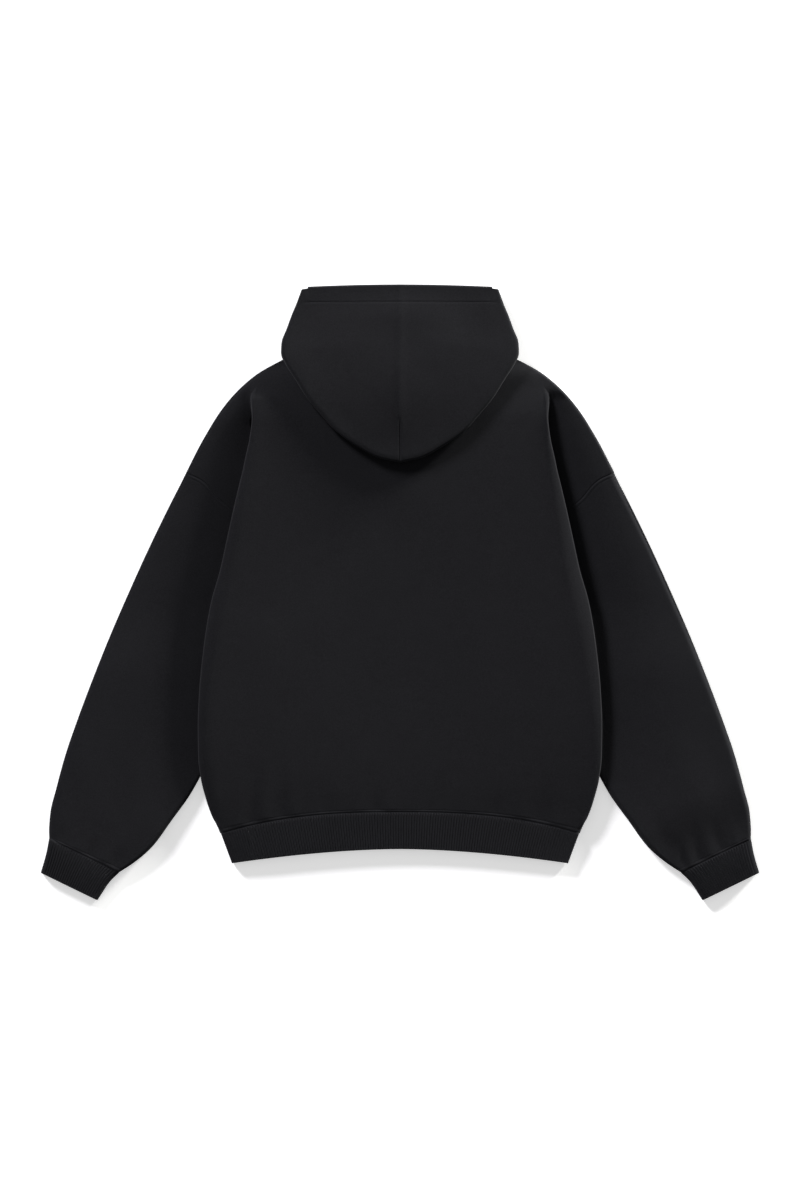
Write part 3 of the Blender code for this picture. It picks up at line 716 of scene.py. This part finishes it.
def sleeve_rings(armhole, side):
    """Fine rings of a sleeve, as on the wearer's right."""
    seam = armhole + ARMHOLE_GAP
    seam[:, 0] += UNDERARM_EASE * np.linspace(0.0, 1.0, len(seam)) ** UNDERARM_POWER
    marks = np.linspace(0.0, running_length(seam)[-1], SLEEVE_COLUMNS)
    seam = line_at(seam, marks)
    shares = (marks / marks[-1])[:, None]
    bow = seam - mix(seam[0], seam[-1], shares)

    table = np.array(SLEEVE_RINGS, float)
    middle = (table[:, :2] + table[:, 2:4]) / 2
    down = unit(middle[1] - middle[0])
    knots = running_length(middle)
    at = stations(0.0, knots[-1], ROW_STEP, near_start=SEAM_ZONE, near_end=SEAM_ZONE)
    fine = smooth_at(table, knots, at)
    first = mix(fine[0, :2], fine[0, 2:4], shares) + bow
    rings = []
    for ring, place in zip(np.concatenate([fine[:1], fine]), tucked(at)):
        line = mix(ring[:2], ring[2:4], shares) + ring[4] * bow
        line += (seam - first) * (1.0 - ease(place / ARMHOLE_FADE)) + down * min(place, 0.0)
        line = line[::-1]
        x, y = line.T
        to_cuff = knots[-1] - place
        lift = outer_loft(x, y, SIDES[side])
        away = ease(distance_to(x, y, CUFF_SEAM) / CUFF_END_WIDTH)
        lift = mix(np.minimum(lift, CUFF_END_LOFT), lift, away)
        lift *= rounded(distance_to(x, y, SLEEVE_INNER) + INNER_START, INNER_WIDTH)
        held = ease(place / SLEEVE_HELD) * ease(to_cuff / CUFF_HELD)
        lift += held * creased(x, y, SLEEVE_CREASES[side]) * np.minimum(lift / FULL_CREASE_LOFT, 1.0)
        from_seam = distance_to(x, y, seam) if place < ARMHOLE_FADE else FAR_OFF
        lift += relief(from_seam, SLEEVE_RELIEF)
        lift += relief(to_cuff, FLEECE_RELIEF) - (TUCK_DROP if place < 0.0 else 0.0)
        (top_y, top), (full_y, full) = PUFF_TOP, PUFF_FULL
        ply = mix(top, full, between(y, top_y, full_y))
        rings.append(flattened_ring(line, FLOOR_LEVEL, ply, FLEECE_WALL, lift))
    return np.array(rings)


RIB_COLUMNS = 5  # columns of the mesh for each rib
RIB_DEPTH = 0.5
CUFF_RIBS, HEM_RIBS = 26, 134
RIB_START = (0.6, 3.0)  # from the seam: the ribs rise between these
RIB_FADE = 0.85  # share of their depth that they lose towards the folded sides,
RIB_FADE_ZONE = (0.80, 1.0)  # between these shares of the way to them


def rib_ring(line, ply, lift, place, count):
    """A ring of a rib, so far from its seam, with knitted ribs on both sides."""
    under = place < 0.0
    lift = lift + relief(place, RIB_RELIEF) - (TUCK_DROP if under else 0.0)
    ring = flattened_ring(line, RIB_WALL / 2, ply, RIB_WALL, lift, TUCK if under else 0.0)
    phase = np.arange(count * RIB_COLUMNS + 1) / RIB_COLUMNS
    fade = 1.0 - RIB_FADE * between(np.abs(2.0 * phase / count - 1.0), *RIB_FADE_ZONE)
    height = between(place, *RIB_START) * RIB_DEPTH * fade * np.cos(2.0 * math.pi * phase)
    ring[:len(phase), 2] += height
    lower = len(phase) + TURN_STEPS - 1
    ring[lower:lower + len(phase), 2] += np.abs(height)  # these only stand inwards
    return ring


def cuff_rings():
    table = np.array(CUFF_RINGS)
    knots = running_length((table[:, :2] + table[:, 2:4]) / 2)
    at = tucked(stations(0.0, knots[-1], CUFF_STEP, near_start=SEAM_ZONE, near_end=FREE_ZONE))
    shares = np.linspace(0.0, 1.0, CUFF_RIBS * RIB_COLUMNS + 1)
    down = unit(table[1, :2] - table[0, :2])
    rings = []
    for ring, place in zip(smooth_at(table, knots, np.maximum(at, 0.0)), at):
        line = mix(ring[2:4], ring[:2], shares[:, None]) + down * min(place, 0.0)
        ply = np.full(len(line), ring[4])
        pressed = RIB_WALL / 2 + 2.0 * ring[4]
        belly = mix(CUFF_TOP_LEVEL - pressed, CUFF_LOFT, ease(place / knots[-1]))
        lift = belly * np.sin(math.pi * shares) ** CUFF_ROUND_POWER
        rings.append(rib_ring(line, ply, lift, place, CUFF_RIBS))
    return np.array(rings)


def hem_seam_y(x):
    """The hem seam's place across the back panel."""
    return HEM_SEAM.y + HEM_SEAM.rise * (1.0 - (np.abs(x) / HEM_SEAM.fold_x) ** END_CURVE)


def hem_rings():
    depth = HEM_SEAM.y + HEM_SEAM.rise - HEM_BOTTOM_Y
    across = np.linspace(-1.0, 1.0, HEM_RIBS * RIB_COLUMNS + 1)
    x = across * HEM_SEAM.fold_x
    low_x = x * HEM_BOTTOM_X / HEM_SEAM.fold_x
    low_y = HEM_BOTTOM_Y - HEM_BOTTOM_DROP * (np.abs(low_x) / HEM_BOTTOM_X) ** HEM_BOTTOM_POWER
    seam = np.column_stack([x, hem_seam_y(x) - HEM_GAP])
    bottom = np.column_stack([low_x, low_y])
    rings = []
    for place in tucked(stations(0.0, depth, HEM_STEP, near_start=SEAM_ZONE, near_end=FREE_ZONE)):
        line = mix(seam, bottom, place / depth)
        height = line[:, 1]
        ply = mix(*HEM_PLY, between(height, height.max(), height.min()))
        pressed = RIB_WALL / 2 + 2.0 * ply
        corner = HEM_CORNER_DROP * np.abs(across) ** HEM_CORNER_POWER
        share = ease(HEM_START_SHARE + (1.0 - HEM_START_SHARE) * place / depth)
        lift = mix(HEM_TOP_LEVEL - pressed, (HEM_FREE_LEVEL - pressed) * (1.0 - corner), share)
        rings.append(rib_ring(line, ply, lift, place, HEM_RIBS))
    return np.array(rings)


# ---- the hood
def upper_level(level, x, y):
    """Height of the hood's upper layer, from that of the back panel under it."""
    on_back = level(x, min(y, HOOD_FALL[0])) + HOOD_ON_BACK + HOOD_LAYERS
    return mix(on_back, HOOD_OFF_BODY, between(y, *HOOD_FALL))


def hood_column(j, level):
    """Points down one of the table's columns, from the rim's turned hem to the neck."""
    outline = [np.array((c.x, c.y)) for c in HOOD_COLUMNS]
    column = HOOD_COLUMNS[j]
    along = outline[min(j + 1, len(outline) - 1)] - outline[max(j - 1, 0)]
    if j == 0:
        along = np.array((1.0, 0.0))
    out = unit(np.array((along[1], -along[0])))
    if j == len(HOOD_COLUMNS) - 1:
        out = np.array(HOOD_CORNER_OUT)

    rim_y = RIM_Y - RIM_DROP * (column.rim_x / HOOD_COLUMNS[-1].rim_x) ** 2
    fold = np.array((column.rim_x, rim_y - (RIM_FOLD_RADIUS + FLEECE_WALL / 2)))
    height = upper_level(level, *fold)
    points = []
    depth = (RIM_HEM - RIM_FOLD_RADIUS) * (1.0 if j < RIM_HEM_COLUMNS else SHORT_HEM)
    for step in range(TURN_STEPS):
        share = 1.0 - step / TURN_STEPS
        points.append((fold[0], fold[1] - depth * share, height - 2 * RIM_FOLD_RADIUS))
    for step in range(TURN_STEPS):
        a = math.pi * step / TURN_STEPS
        points.append((fold[0], fold[1] + RIM_FOLD_RADIUS * math.sin(a),
                       height - RIM_FOLD_RADIUS * (1.0 + math.cos(a))))
    points.append((fold[0], fold[1], height))

    cheek = j >= FIRST_CHEEK
    place = outline[j] - out * (HOOD_LAYERS / 2 + FLEECE_WALL / 2)
    top = upper_level(level, *place)
    falls = CHEEK_FALL.get(j, [CHEEK_LEVEL] * 4)
    bottom = falls[0] if cheek else level(*place) + HOOD_ON_BACK
    radius = (top - bottom) / 2
    stand_out = min(radius, HOOD_REACH)
    place = outline[j] - out * (stand_out + FLEECE_WALL / 2)
    length = np.linalg.norm(place - fold)
    zone = min(HOOD_RIM_ZONE, HOOD_RIM_SHARE * length) / length
    shares = np.concatenate([np.linspace(0.0, zone, HOOD_RIM_STEPS + 1)[1:],
                             np.linspace(zone, 1.0, HOOD_TOP_STEPS + 1)[1:-1]])
    for share in shares:
        x, y = mix(fold, place, share)
        points.append((x, y, mix(upper_level(level, x, y), top, share ** HOOD_JOIN_POWER)))
    for step in range(TURN_STEPS + 1):
        a = math.pi * step / TURN_STEPS
        x, y = place + out * stand_out * math.sin(a)
        points.append((x, y, bottom + radius * (1.0 + math.cos(a))))

    parts = np.linspace(0.0, 1.0, HOOD_LOW_STEPS + 1)[1:]
    if not cheek:
        neck_x = NECK_X * HOOD_NECK_SHARE * j / (FIRST_CHEEK - 1)
        end = np.array((neck_x, float(back_neck_y(neck_x)) - NECK_LAP))
        for part in parts:
            x, y = mix(place, end, part)
            points.append((x, y, level(x, y) + HOOD_ON_BACK))
        return np.array(points)
    share = (j - FIRST_CHEEK) / (len(HOOD_COLUMNS) - 1 - FIRST_CHEEK)
    ends = [np.array((mix(r.neck_x, r.rim_x, share), mix(r.neck_y, r.rim_y, share)))
            for r in CHEEK_ROWS]
    for part in parts:
        points.append((*mix(place, ends[0], part), np.interp(part, CHEEK_PARTS, falls)))
    start = falls[-1]
    for before, after in zip(ends, ends[1:]):
        for step in range(1, CHEEK_STEPS + 1):
            part = step / CHEEK_STEPS
            points.append((*mix(before, after, part), mix(start, CHEEK_LEVEL, ease(part))))
        start = CHEEK_LEVEL
    return np.array(points)


def hood_half(level):
    """Half of the hood as a fine grid; the cheek's rows exist past the shoulder only."""
    table = [hood_column(j, level) for j in range(len(HOOD_COLUMNS))]
    common = np.array([column[:HOOD_ROWS] for column in table])
    cheeks = np.array([column[HOOD_ROWS:] for column in table[FIRST_CHEEK:]])
    knots = running_length(common[:, HOOD_TOP_ROW:HOOD_EDGE_ROW + 1])
    change = knots[FIRST_CHEEK]
    at = np.concatenate([stations(0.0, change, HOOD_STEP, near_start=HOOD_CROWN_ZONE)[:-1],
                         stations(change, knots[-1], HOOD_CHEEK_STEP)])
    past = at >= change
    grid = np.full((len(at), HOOD_ROWS + cheeks.shape[1], 3), np.nan)
    grid[:, :HOOD_ROWS] = smooth_at(common, knots, at)
    grid[past, HOOD_ROWS:] = smooth_at(cheeks, knots[FIRST_CHEEK:], at[past])
    return grid.transpose(1, 0, 2)


def hood_shape(level):
    """Both halves of the hood, lofted and creased, and the rows where its crown is slit."""
    half = hood_half(level)
    outline = half[HOOD_EDGE_ROW, :, :2]
    halves = [half, mirrored(half)]
    for grid in halves:
        top = grid[HOOD_TOP_ROW - TURN_STEPS:HOOD_EDGE_ROW + 1]
        x, y = top[..., 0], top[..., 1]
        d = distance_to(np.abs(x), y, outline)
        shape = HOOD_LOFT * ease(d / HOOD_LOFT_WIDTH) * (1.0 - RIM_FLAT * between(y, *RIM_FLAT_Y))
        shape -= HOOD_EDGE_DROP * (1.0 - ease(d / HOOD_EDGE_WIDTH))
        shape += RIDGE * bump(x, RIDGE_WIDTH) * between(y, *RIDGE_Y) + creased(x, y, HOOD_CREASES)
        shape -= RIM_GROOVE * bump(RIM_Y - RIM_HEM - y, RIM_GROOVE_WIDTH)
        open_seam = ease((SEAM_START_Y + SLIT_BEFORE - y) / SLIT_FADE)
        shape -= open_seam * SLIT_DEPTH * bump(x, SLIT_WIDTH)
        over = np.ones((top.shape[0], 1))
        turned = np.arange(TURN_STEPS // 2 + 1)
        over[-len(turned):, 0] = np.cos(math.pi * turned / TURN_STEPS)
        top[..., 2] += shape * over
        hem = grid[:HOOD_TOP_ROW - TURN_STEPS]
        hem[..., 2] += shape[0]
    slit = [i for i in range(HOOD_TOP_ROW + SLIT_ROWS, half.shape[0]) if half[i, 0, 1] < SEAM_START_Y
            or i > HOOD_TURN_ROW]
    return halves, slit


# ---- materials
def node(tree, kind, sources=(), **settings):
    """A shader node, its inputs linked to their sources, with its settings."""
    made = tree.nodes.new(kind)
    for key, value in settings.items():
        if key in made.inputs:
            made.inputs[key].default_value = value
        else:
            setattr(made, key.lower(), value)
    for socket, source in dict(sources).items():
        tree.links.new(source, made.inputs[socket])
    return made


def new_material(name, **settings):
    """A material, its node tree and its shader, with the shader's sockets set."""
    material = bpy.data.materials.new(name)
    material.use_nodes = True
    shader = material.node_tree.nodes["Principled BSDF"]
    for key, value in settings.items():
        shader.inputs[key.replace("_", " ")].default_value = value
    return material, material.node_tree, shader


COURSE = 0.75  # height of a knitted stitch, in its widths
WHITE = (1.0, 1.0, 1.0, 1.0)


def cloth_material(name, dark, light, sheen, knit_pitch, knit_depth):
    """Matt cotton: speckled yarn, a fine knit in the bump, and a soft nap."""
    material, tree, shader = new_material(
        name, Roughness=0.93, Specular_IOR_Level=0.08, Sheen_Weight=sheen, Sheen_Roughness=0.55,
        Sheen_Tint=(0.75, 0.76, 0.80, 1.0))
    place = node(tree, "ShaderNodeTexCoord").outputs
    solid, cloth = {"Vector": place["Object"]}, {"Vector": place["UV"]}

    grain = node(tree, "ShaderNodeTexNoise", solid, Scale=520.0, Detail=3.0, Roughness=0.7)
    cloud = node(tree, "ShaderNodeTexNoise", solid, Scale=24.0, Detail=4.0, Roughness=0.6)
    blend = node(tree, "ShaderNodeMath", {0: cloud.outputs["Fac"], 2: grain.outputs["Fac"]},
                 operation="MULTIPLY_ADD")
    blend.inputs[1].default_value = 0.16  # the cloud's share
    ramp = node(tree, "ShaderNodeValToRGB", {"Fac": blend.outputs["Value"]})
    for element, position, colour in zip(ramp.color_ramp.elements, (0.36, 0.80), (dark, light)):
        element.position = position
        element.color = (*colour, 1.0)
    tree.links.new(ramp.outputs["Color"], shader.inputs["Base Color"])

    wave = 2.0 * math.pi / (20.0 * knit_pitch)  # scale of the texture for one wale
    wales = node(tree, "ShaderNodeTexWave", cloth, wave_type="BANDS", bands_direction="X",
                 Scale=wave, Distortion=0.6, **{"Detail Scale": 3.0})
    courses = node(tree, "ShaderNodeTexWave", cloth, wave_type="BANDS", bands_direction="Y",
                   Scale=wave / COURSE, Distortion=0.8)
    knit = node(tree, "ShaderNodeMath", {0: wales.outputs["Fac"], 1: courses.outputs["Fac"]},
                operation="MULTIPLY")
    fuzz = node(tree, "ShaderNodeTexNoise", solid, Scale=900.0, Detail=5.0, Roughness=0.75)
    height = node(tree, "ShaderNodeMath", {0: knit.outputs["Value"], 2: fuzz.outputs["Fac"]},
                  operation="MULTIPLY_ADD")
    height.inputs[1].default_value = 0.45  # the knit's share
    press = node(tree, "ShaderNodeBump", {"Height": height.outputs["Value"]}, Strength=0.55,
                 Distance=knit_depth)
    tree.links.new(press.outputs["Normal"], shader.inputs["Normal"])
    return material


FLEECE = cloth_material("fleece_black", (0.0043, 0.0043, 0.0052), (0.0087, 0.0088, 0.0103),
                        0.035, 0.0011, 0.00035)
# The rib's light tone is set brighter than the fleece's as painted light: it makes up for the shade that
# its own raised ribs cast.
RIB = cloth_material("rib_black", (0.0043, 0.0043, 0.0052), (0.0096, 0.0097, 0.0113),
                     0.03, 0.0009, 0.00025)
THREAD = cloth_material("thread_black", (0.0052, 0.0052, 0.0059), (0.0086, 0.0086, 0.0098),
                        0.02, 0.0004, 0.00008)
FLEECE_CLOTH = (FLEECE_WALL, FLEECE, "fleece")
RIB_CLOTH = (RIB_WALL, RIB, "rib")


# ---- meshes
def grid_faces(index):
    """Quads of a grid of vertex numbers; a corner of -1 leaves its quads out."""
    quads = np.stack([index[:-1, :-1], index[1:, :-1], index[1:, 1:], index[:-1, 1:]], -1)
    quads = quads.reshape(-1, 4)
    return quads[(quads >= 0).all(axis=1)]


MAP_COLUMNS = 8  # whose lengths give the places of a grid's rows on the cloth


def flat_map(grid):
    """Cloth coordinates of a grid in metres: along its rows, and from row to row."""
    filled = np.where(np.isnan(grid), 0.0, grid)
    across = np.sqrt((np.diff(filled, axis=1) ** 2).sum(-1))
    across = np.where(np.isnan(grid[:, 1:, 0]), 0.0, across)
    u = np.concatenate([np.zeros((len(grid), 1)), np.cumsum(across, axis=1)], axis=1)
    v = running_length(filled[:, :MAP_COLUMNS])
    return (np.stack([u, np.broadcast_to(v[:, None], u.shape)], -1) * MM).reshape(-1, 2)


# Rounding of a cut edge: the wall's faces stop this far inside it, and steps lead on
# round it, as (inside the edge, below the face) in shares of that.
EDGE_ROUND = 0.42
ROUND_PROFILE = ((0.3, 0.3), (0.0, 1.0))


def cloth_wall(places, faces, wall):
    """A middle surface given its wall and rounded cut edges: points, faces, sources."""
    corners = places[faces]
    across = np.cross(corners[:, 2] - corners[:, 0], corners[:, 3] - corners[:, 1])
    normals = np.zeros_like(places)
    for k in range(4):
        np.add.at(normals, faces[:, k], across)
    normals = unit(normals)

    count = len(places)
    edges = faces[:, [0, 1, 1, 2, 2, 3, 3, 0]].reshape(-1, 2)
    codes = edges[:, 0] * count + edges[:, 1]
    open_edges = ~np.isin(codes, edges[:, 1] * count + edges[:, 0])
    rim = edges[open_edges]
    beside = np.repeat(unit(across), 4, axis=0)[open_edges]
    away = unit(np.cross(places[rim[:, 1]] - places[rim[:, 0]], beside))
    outward = np.zeros_like(places)
    np.add.at(outward, rim[:, 0], away)
    np.add.at(outward, rim[:, 1], away)
    on_rim = np.unique(rim)
    outward[on_rim] = unit(outward[on_rim])

    moved = places - EDGE_ROUND * outward
    points = [moved + wall / 2 * normals, moved - wall / 2 * normals]
    sources = [np.arange(count), np.arange(count)]
    number = np.full(count, -1)
    number[on_rim] = np.arange(len(on_rim))
    layers = [rim]
    start = 2 * count
    sides = [(1.0, *step) for step in ROUND_PROFILE] + [(-1.0, *step) for step in ROUND_PROFILE[::-1]]
    for sign, inwards, down in sides:
        height = sign * (wall / 2 - EDGE_ROUND * down)
        points.append((places - EDGE_ROUND * inwards * outward + height * normals)[on_rim])
        sources.append(on_rim)
        layers.append(start + number[rim])
        start += len(on_rim)
    layers.append(rim + count)
    quads = [faces, faces[:, ::-1] + count]
    for upper, lower in zip(layers, layers[1:]):
        quads.append(np.column_stack([upper[:, 1], upper[:, 0], lower[:, 0], lower[:, 1]]))
    return np.concatenate(points), np.concatenate(quads), np.concatenate(sources)


def new_object(name, data):
    made = bpy.data.objects.new(name, data)
    bpy.context.scene.collection.objects.link(made)
    return made


def new_piece(name, points, faces, material):
    """A smooth piece of the garment, from points in millimetres."""
    mesh = bpy.data.meshes.new(name)
    mesh.from_pydata((points * MM).tolist(), [], faces)
    mesh.materials.append(material)
    mesh.shade_smooth()
    piece = new_object(name, mesh)
    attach(piece, "root")
    return piece


def cut_piece(name, places, faces, maps, wall, material, slot):
    """A cut piece, from its middle surface."""
    used, faces = np.unique(faces, return_inverse=True)
    points, quads, sources = cloth_wall(places[used], faces.reshape(-1, 4), wall)
    piece = new_piece(name, points, quads.tolist(), material)
    layer = piece.data.uv_layers.new(name="cloth")
    layer.data.foreach_set("uv", maps[used][sources[quads.ravel()]].astype(np.float32).ravel())
    return piece


def mirrored_piece(name, halves, slit_rows, cloth):
    """A piece from both halves of a grid, which share column 0 but for the slit rows."""
    right, left = halves
    rows, columns = right.shape[:2]
    index = np.arange(rows * columns).reshape(rows, columns)
    other = index + rows * columns
    whole = np.ones(rows, bool)
    whole[slit_rows] = False
    other[whole, 0] = index[whole, 0]
    for grid, sign in ((right, 1.0), (left, -1.0)):
        grid[:, 0, 0] = np.where(whole, 0.0, sign * SEAM_GAP / 2)
    missing = np.isnan(right[..., 0])
    index[missing] = -1
    other[missing] = -1
    faces = np.concatenate([grid_faces(index), grid_faces(other)[:, ::-1]])
    maps = flat_map(right)
    return cut_piece(name, np.concatenate([right.reshape(-1, 3), left.reshape(-1, 3)]), faces,
                     np.concatenate([maps, maps * (-1.0, 1.0)]), *cloth)


def tube_piece(name, rings, mirror, cloth):
    """A piece from closed rings, mirrored to the wearer's left where asked."""
    rings = mirrored(rings) if mirror else rings
    index = np.arange(rings.shape[0] * rings.shape[1]).reshape(rings.shape[:2])
    faces = grid_faces(np.concatenate([index, index[:, :1]], axis=1))
    if mirror:
        faces = faces[:, ::-1]
    return cut_piece(name, rings.reshape(-1, 3), faces, flat_map(rings), *cloth)


# ---- stitches
STITCH_LENGTH, STITCH_SPACE, STITCH_RADIUS, STITCH_SIDES = 2.5, 0.9, 0.30, 6
STITCH_SINK, END_SINK = 0.12, 0.35  # into the cloth, and its ends deeper by this of the radius
STITCH_PROFILE = ((0.0, 0.25), (0.12, 0.8), (0.5, 1.0), (0.88, 0.8), (1.0, 0.25))
LONGEST = 1.5  # of a stitch's length, where it would bridge a gap
RAY_HEIGHT = 0.2
HEM_ROW_END, RIM_ROW_END = 3.0, 140.0  # the hem's row ends short of its sides, the rim's at this x
ROW_POINTS = {"hem": 240, "rim": 120}


def stitch_row(name, surface, line):
    """A row of stitches along a line of (x, y), set on a surface from above."""
    starts = np.arange(STITCH_SPACE, running_length(line)[-1] - STITCH_LENGTH,
                       STITCH_LENGTH + STITCH_SPACE)
    marks = np.column_stack([starts, starts + STITCH_LENGTH / 2, starts + STITCH_LENGTH])
    angles = [2.0 * math.pi * k / STITCH_SIDES for k in range(STITCH_SIDES)]
    places, faces = [], []
    for three in line_at(line, marks):
        hits = [surface.ray_cast(Vector((x * MM, y * MM, RAY_HEIGHT)), Vector((0.0, 0.0, -1.0)))
                for x, y in three]
        if any(hit[0] is None for hit in hits):
            continue
        middle = np.array(hits[1][0]) / MM
        normal = np.array(hits[1][1])
        normal *= np.sign(normal[2])
        along = (np.array(hits[2][0]) - np.array(hits[0][0])) / MM
        if np.linalg.norm(along) > LONGEST * STITCH_LENGTH:
            continue
        along -= normal * (along @ normal)
        along *= STITCH_LENGTH / np.linalg.norm(along)
        side = np.cross(normal, along / STITCH_LENGTH)
        first = len(places)
        for share, girth in STITCH_PROFILE:
            sink = STITCH_SINK + END_SINK * STITCH_RADIUS * abs(2.0 * share - 1.0) ** 3
            centre = middle + along * (share - 0.5) - normal * sink
            places += [centre + (math.cos(a) * side + math.sin(a) * normal) * STITCH_RADIUS * girth
                       for a in angles]
        last = len(places) - STITCH_SIDES
        for low in range(first, last, STITCH_SIDES):
            for k in range(STITCH_SIDES):
                after = (k + 1) % STITCH_SIDES
                high = low + STITCH_SIDES
                faces.append((low + k, low + after, high + after, high + k))
        faces.append(tuple(range(first, first + STITCH_SIDES))[::-1])
        faces.append(tuple(range(last, last + STITCH_SIDES)))
    return new_piece(name, np.array(places), faces, THREAD)


def inset_line(line, distance):
    """A line moved sideways, to the left of its own direction."""
    along = unit(np.gradient(line, axis=0))
    return line + distance * np.column_stack([-along[:, 1], along[:, 0]])


# ---- the garment
def build_garment():
    """The cut pieces by the names of their solids, and the line of the armhole."""
    back, armhole = body_panel(1)
    front, _ = body_panel(-1)
    hood, slit = hood_shape(level_lookup(back[0]))
    cuff = cuff_rings()
    pieces = {"back_panel": mirrored_piece("back_shell", back, [], FLEECE_CLOTH),
              "front_panel": mirrored_piece("front_shell", front, [], FLEECE_CLOTH)}
    for side, mirror in (("left", True), ("right", False)):
        rings = sleeve_rings(armhole, side)
        pieces["sleeve_" + side] = tube_piece("sleeve_shell_" + side, rings, mirror, FLEECE_CLOTH)
        pieces["cuff_" + side] = tube_piece("cuff_shell_" + side, cuff, mirror, RIB_CLOTH)
    pieces["hem_band"] = tube_piece("hem_shell", hem_rings(), False, RIB_CLOTH)
    pieces["hood"] = mirrored_piece("hood_shell", hood, slit, FLEECE_CLOTH)
    for cad_node, piece in pieces.items():
        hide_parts(cad_node)
    return pieces, armhole


def sew(pieces, armhole):
    """Rows of stitches along the seams, by their names, on the pieces that show them."""
    graph = bpy.context.evaluated_depsgraph_get()
    surfaces = {name: BVHTree.FromObject(piece, graph) for name, piece in pieces.items()}
    x = np.linspace(-HEM_SEAM.fold_x + HEM_ROW_END, HEM_SEAM.fold_x - HEM_ROW_END, ROW_POINTS["hem"])
    hem = inset_line(np.column_stack([x, hem_seam_y(x)]), FLEECE_STITCH)
    x = np.linspace(-RIM_ROW_END, RIM_ROW_END, ROW_POINTS["rim"])
    rim = np.column_stack([x, np.full(len(x), RIM_Y - RIM_HEM)])
    sleeve = inset_line(armhole, ARMHOLE_STITCH)
    cuff = inset_line(smooth_line(CUFF_SEAM, CUFF_LINE_STEP), -FLEECE_STITCH)
    rows = [("hem_topstitch", "back_panel", hem), ("rim_stitch", "hood", rim)]
    for side, sign in (("left", (-1.0, 1.0)), ("right", (1.0, 1.0))):
        rows += [("armhole_stitch_" + side, "sleeve_" + side, sleeve * sign),
                 ("cuff_topstitch_" + side, "sleeve_" + side, cuff * sign)]
    return {name: stitch_row(name, surfaces[under], line) for name, under, line in rows}


# ---- the studio
# azimuth from +X towards +Y, elevation and spread, all in degrees
Sun = namedtuple("Sun", "name azimuth elevation spread strength colour")
SUNS = [Sun("key_left", 127.0, 17.0, 12.0, 6.2, (0.97, 0.96, 1.0)),
        Sun("low_right", 46.0, 4.8, 9.0, 13.4, (1.0, 1.0, 0.97))]
SUN_DISTANCE = 3.0
SKY_STRENGTH = 0.29
FLOOR_SIZE = 60.0
FLOOR_GREY = 0.93
FLOOR_GLOW = 0.45  # keeps the backdrop white beside the garment
VIEW_HEIGHT = 6.0  # of the camera above the floor
PIXEL = 1.4 * MM  # of the 800 x 1200 picture, on the floor
PICTURE_HEIGHT = 1200
PICTURE_CENTRE_Y = -10.5 * MM
SENSOR = 36.0
VIEW_END = 100.0


def studio():
    half = FLOOR_SIZE / 2
    mesh = bpy.data.meshes.new("floor")
    mesh.from_pydata([(-half, -half, 0), (half, -half, 0), (half, half, 0), (-half, half, 0)],
                     [], [(0, 1, 2, 3)])
    pale, _, _ = new_material(
        "pale_floor", Base_Color=(FLOOR_GREY, FLOOR_GREY, FLOOR_GREY, 1.0), Roughness=0.85,
        Specular_IOR_Level=0.1, Emission_Color=WHITE, Emission_Strength=FLOOR_GLOW)
    mesh.materials.append(pale)
    floor = new_object("floor", mesh)
    floor.location.z = cad_low[2]

    for sun in SUNS:
        lamp = bpy.data.lights.new(sun.name, "SUN")
        lamp.energy = sun.strength
        lamp.angle = math.radians(sun.spread)
        lamp.color = sun.colour
        thing = new_object(sun.name, lamp)
        a, e = math.radians(sun.azimuth), math.radians(sun.elevation)
        towards = Vector((math.cos(a) * math.cos(e), math.sin(a) * math.cos(e), math.sin(e)))
        thing.rotation_mode = "QUATERNION"
        thing.rotation_quaternion = towards.to_track_quat("Z", "Y")
        thing.location = towards * SUN_DISTANCE
    scene = bpy.context.scene
    scene.world = bpy.data.worlds.new("studio")
    scene.world.use_nodes = True
    sky = scene.world.node_tree.nodes["Background"]
    sky.inputs["Color"].default_value = WHITE
    sky.inputs["Strength"].default_value = SKY_STRENGTH
    scene.view_settings.view_transform = "Standard"

    lens = bpy.data.cameras.new("camera")
    lens.sensor_width = SENSOR
    lens.lens = SENSOR * VIEW_HEIGHT / (PICTURE_HEIGHT * PIXEL)
    lens.clip_end = VIEW_END
    scene.camera = new_object("camera", lens)
    scene.camera.location = (0.0, PICTURE_CENTRE_Y, VIEW_HEIGHT)


pieces, armhole_seam = build_garment()
stitch_rows = sew(pieces, armhole_seam)

# Cut sizes in metres, all round on a tube: width, length, and the share of that box.
Cut = namedtuple("Cut", "width length share held rests_on stitches")

studio()
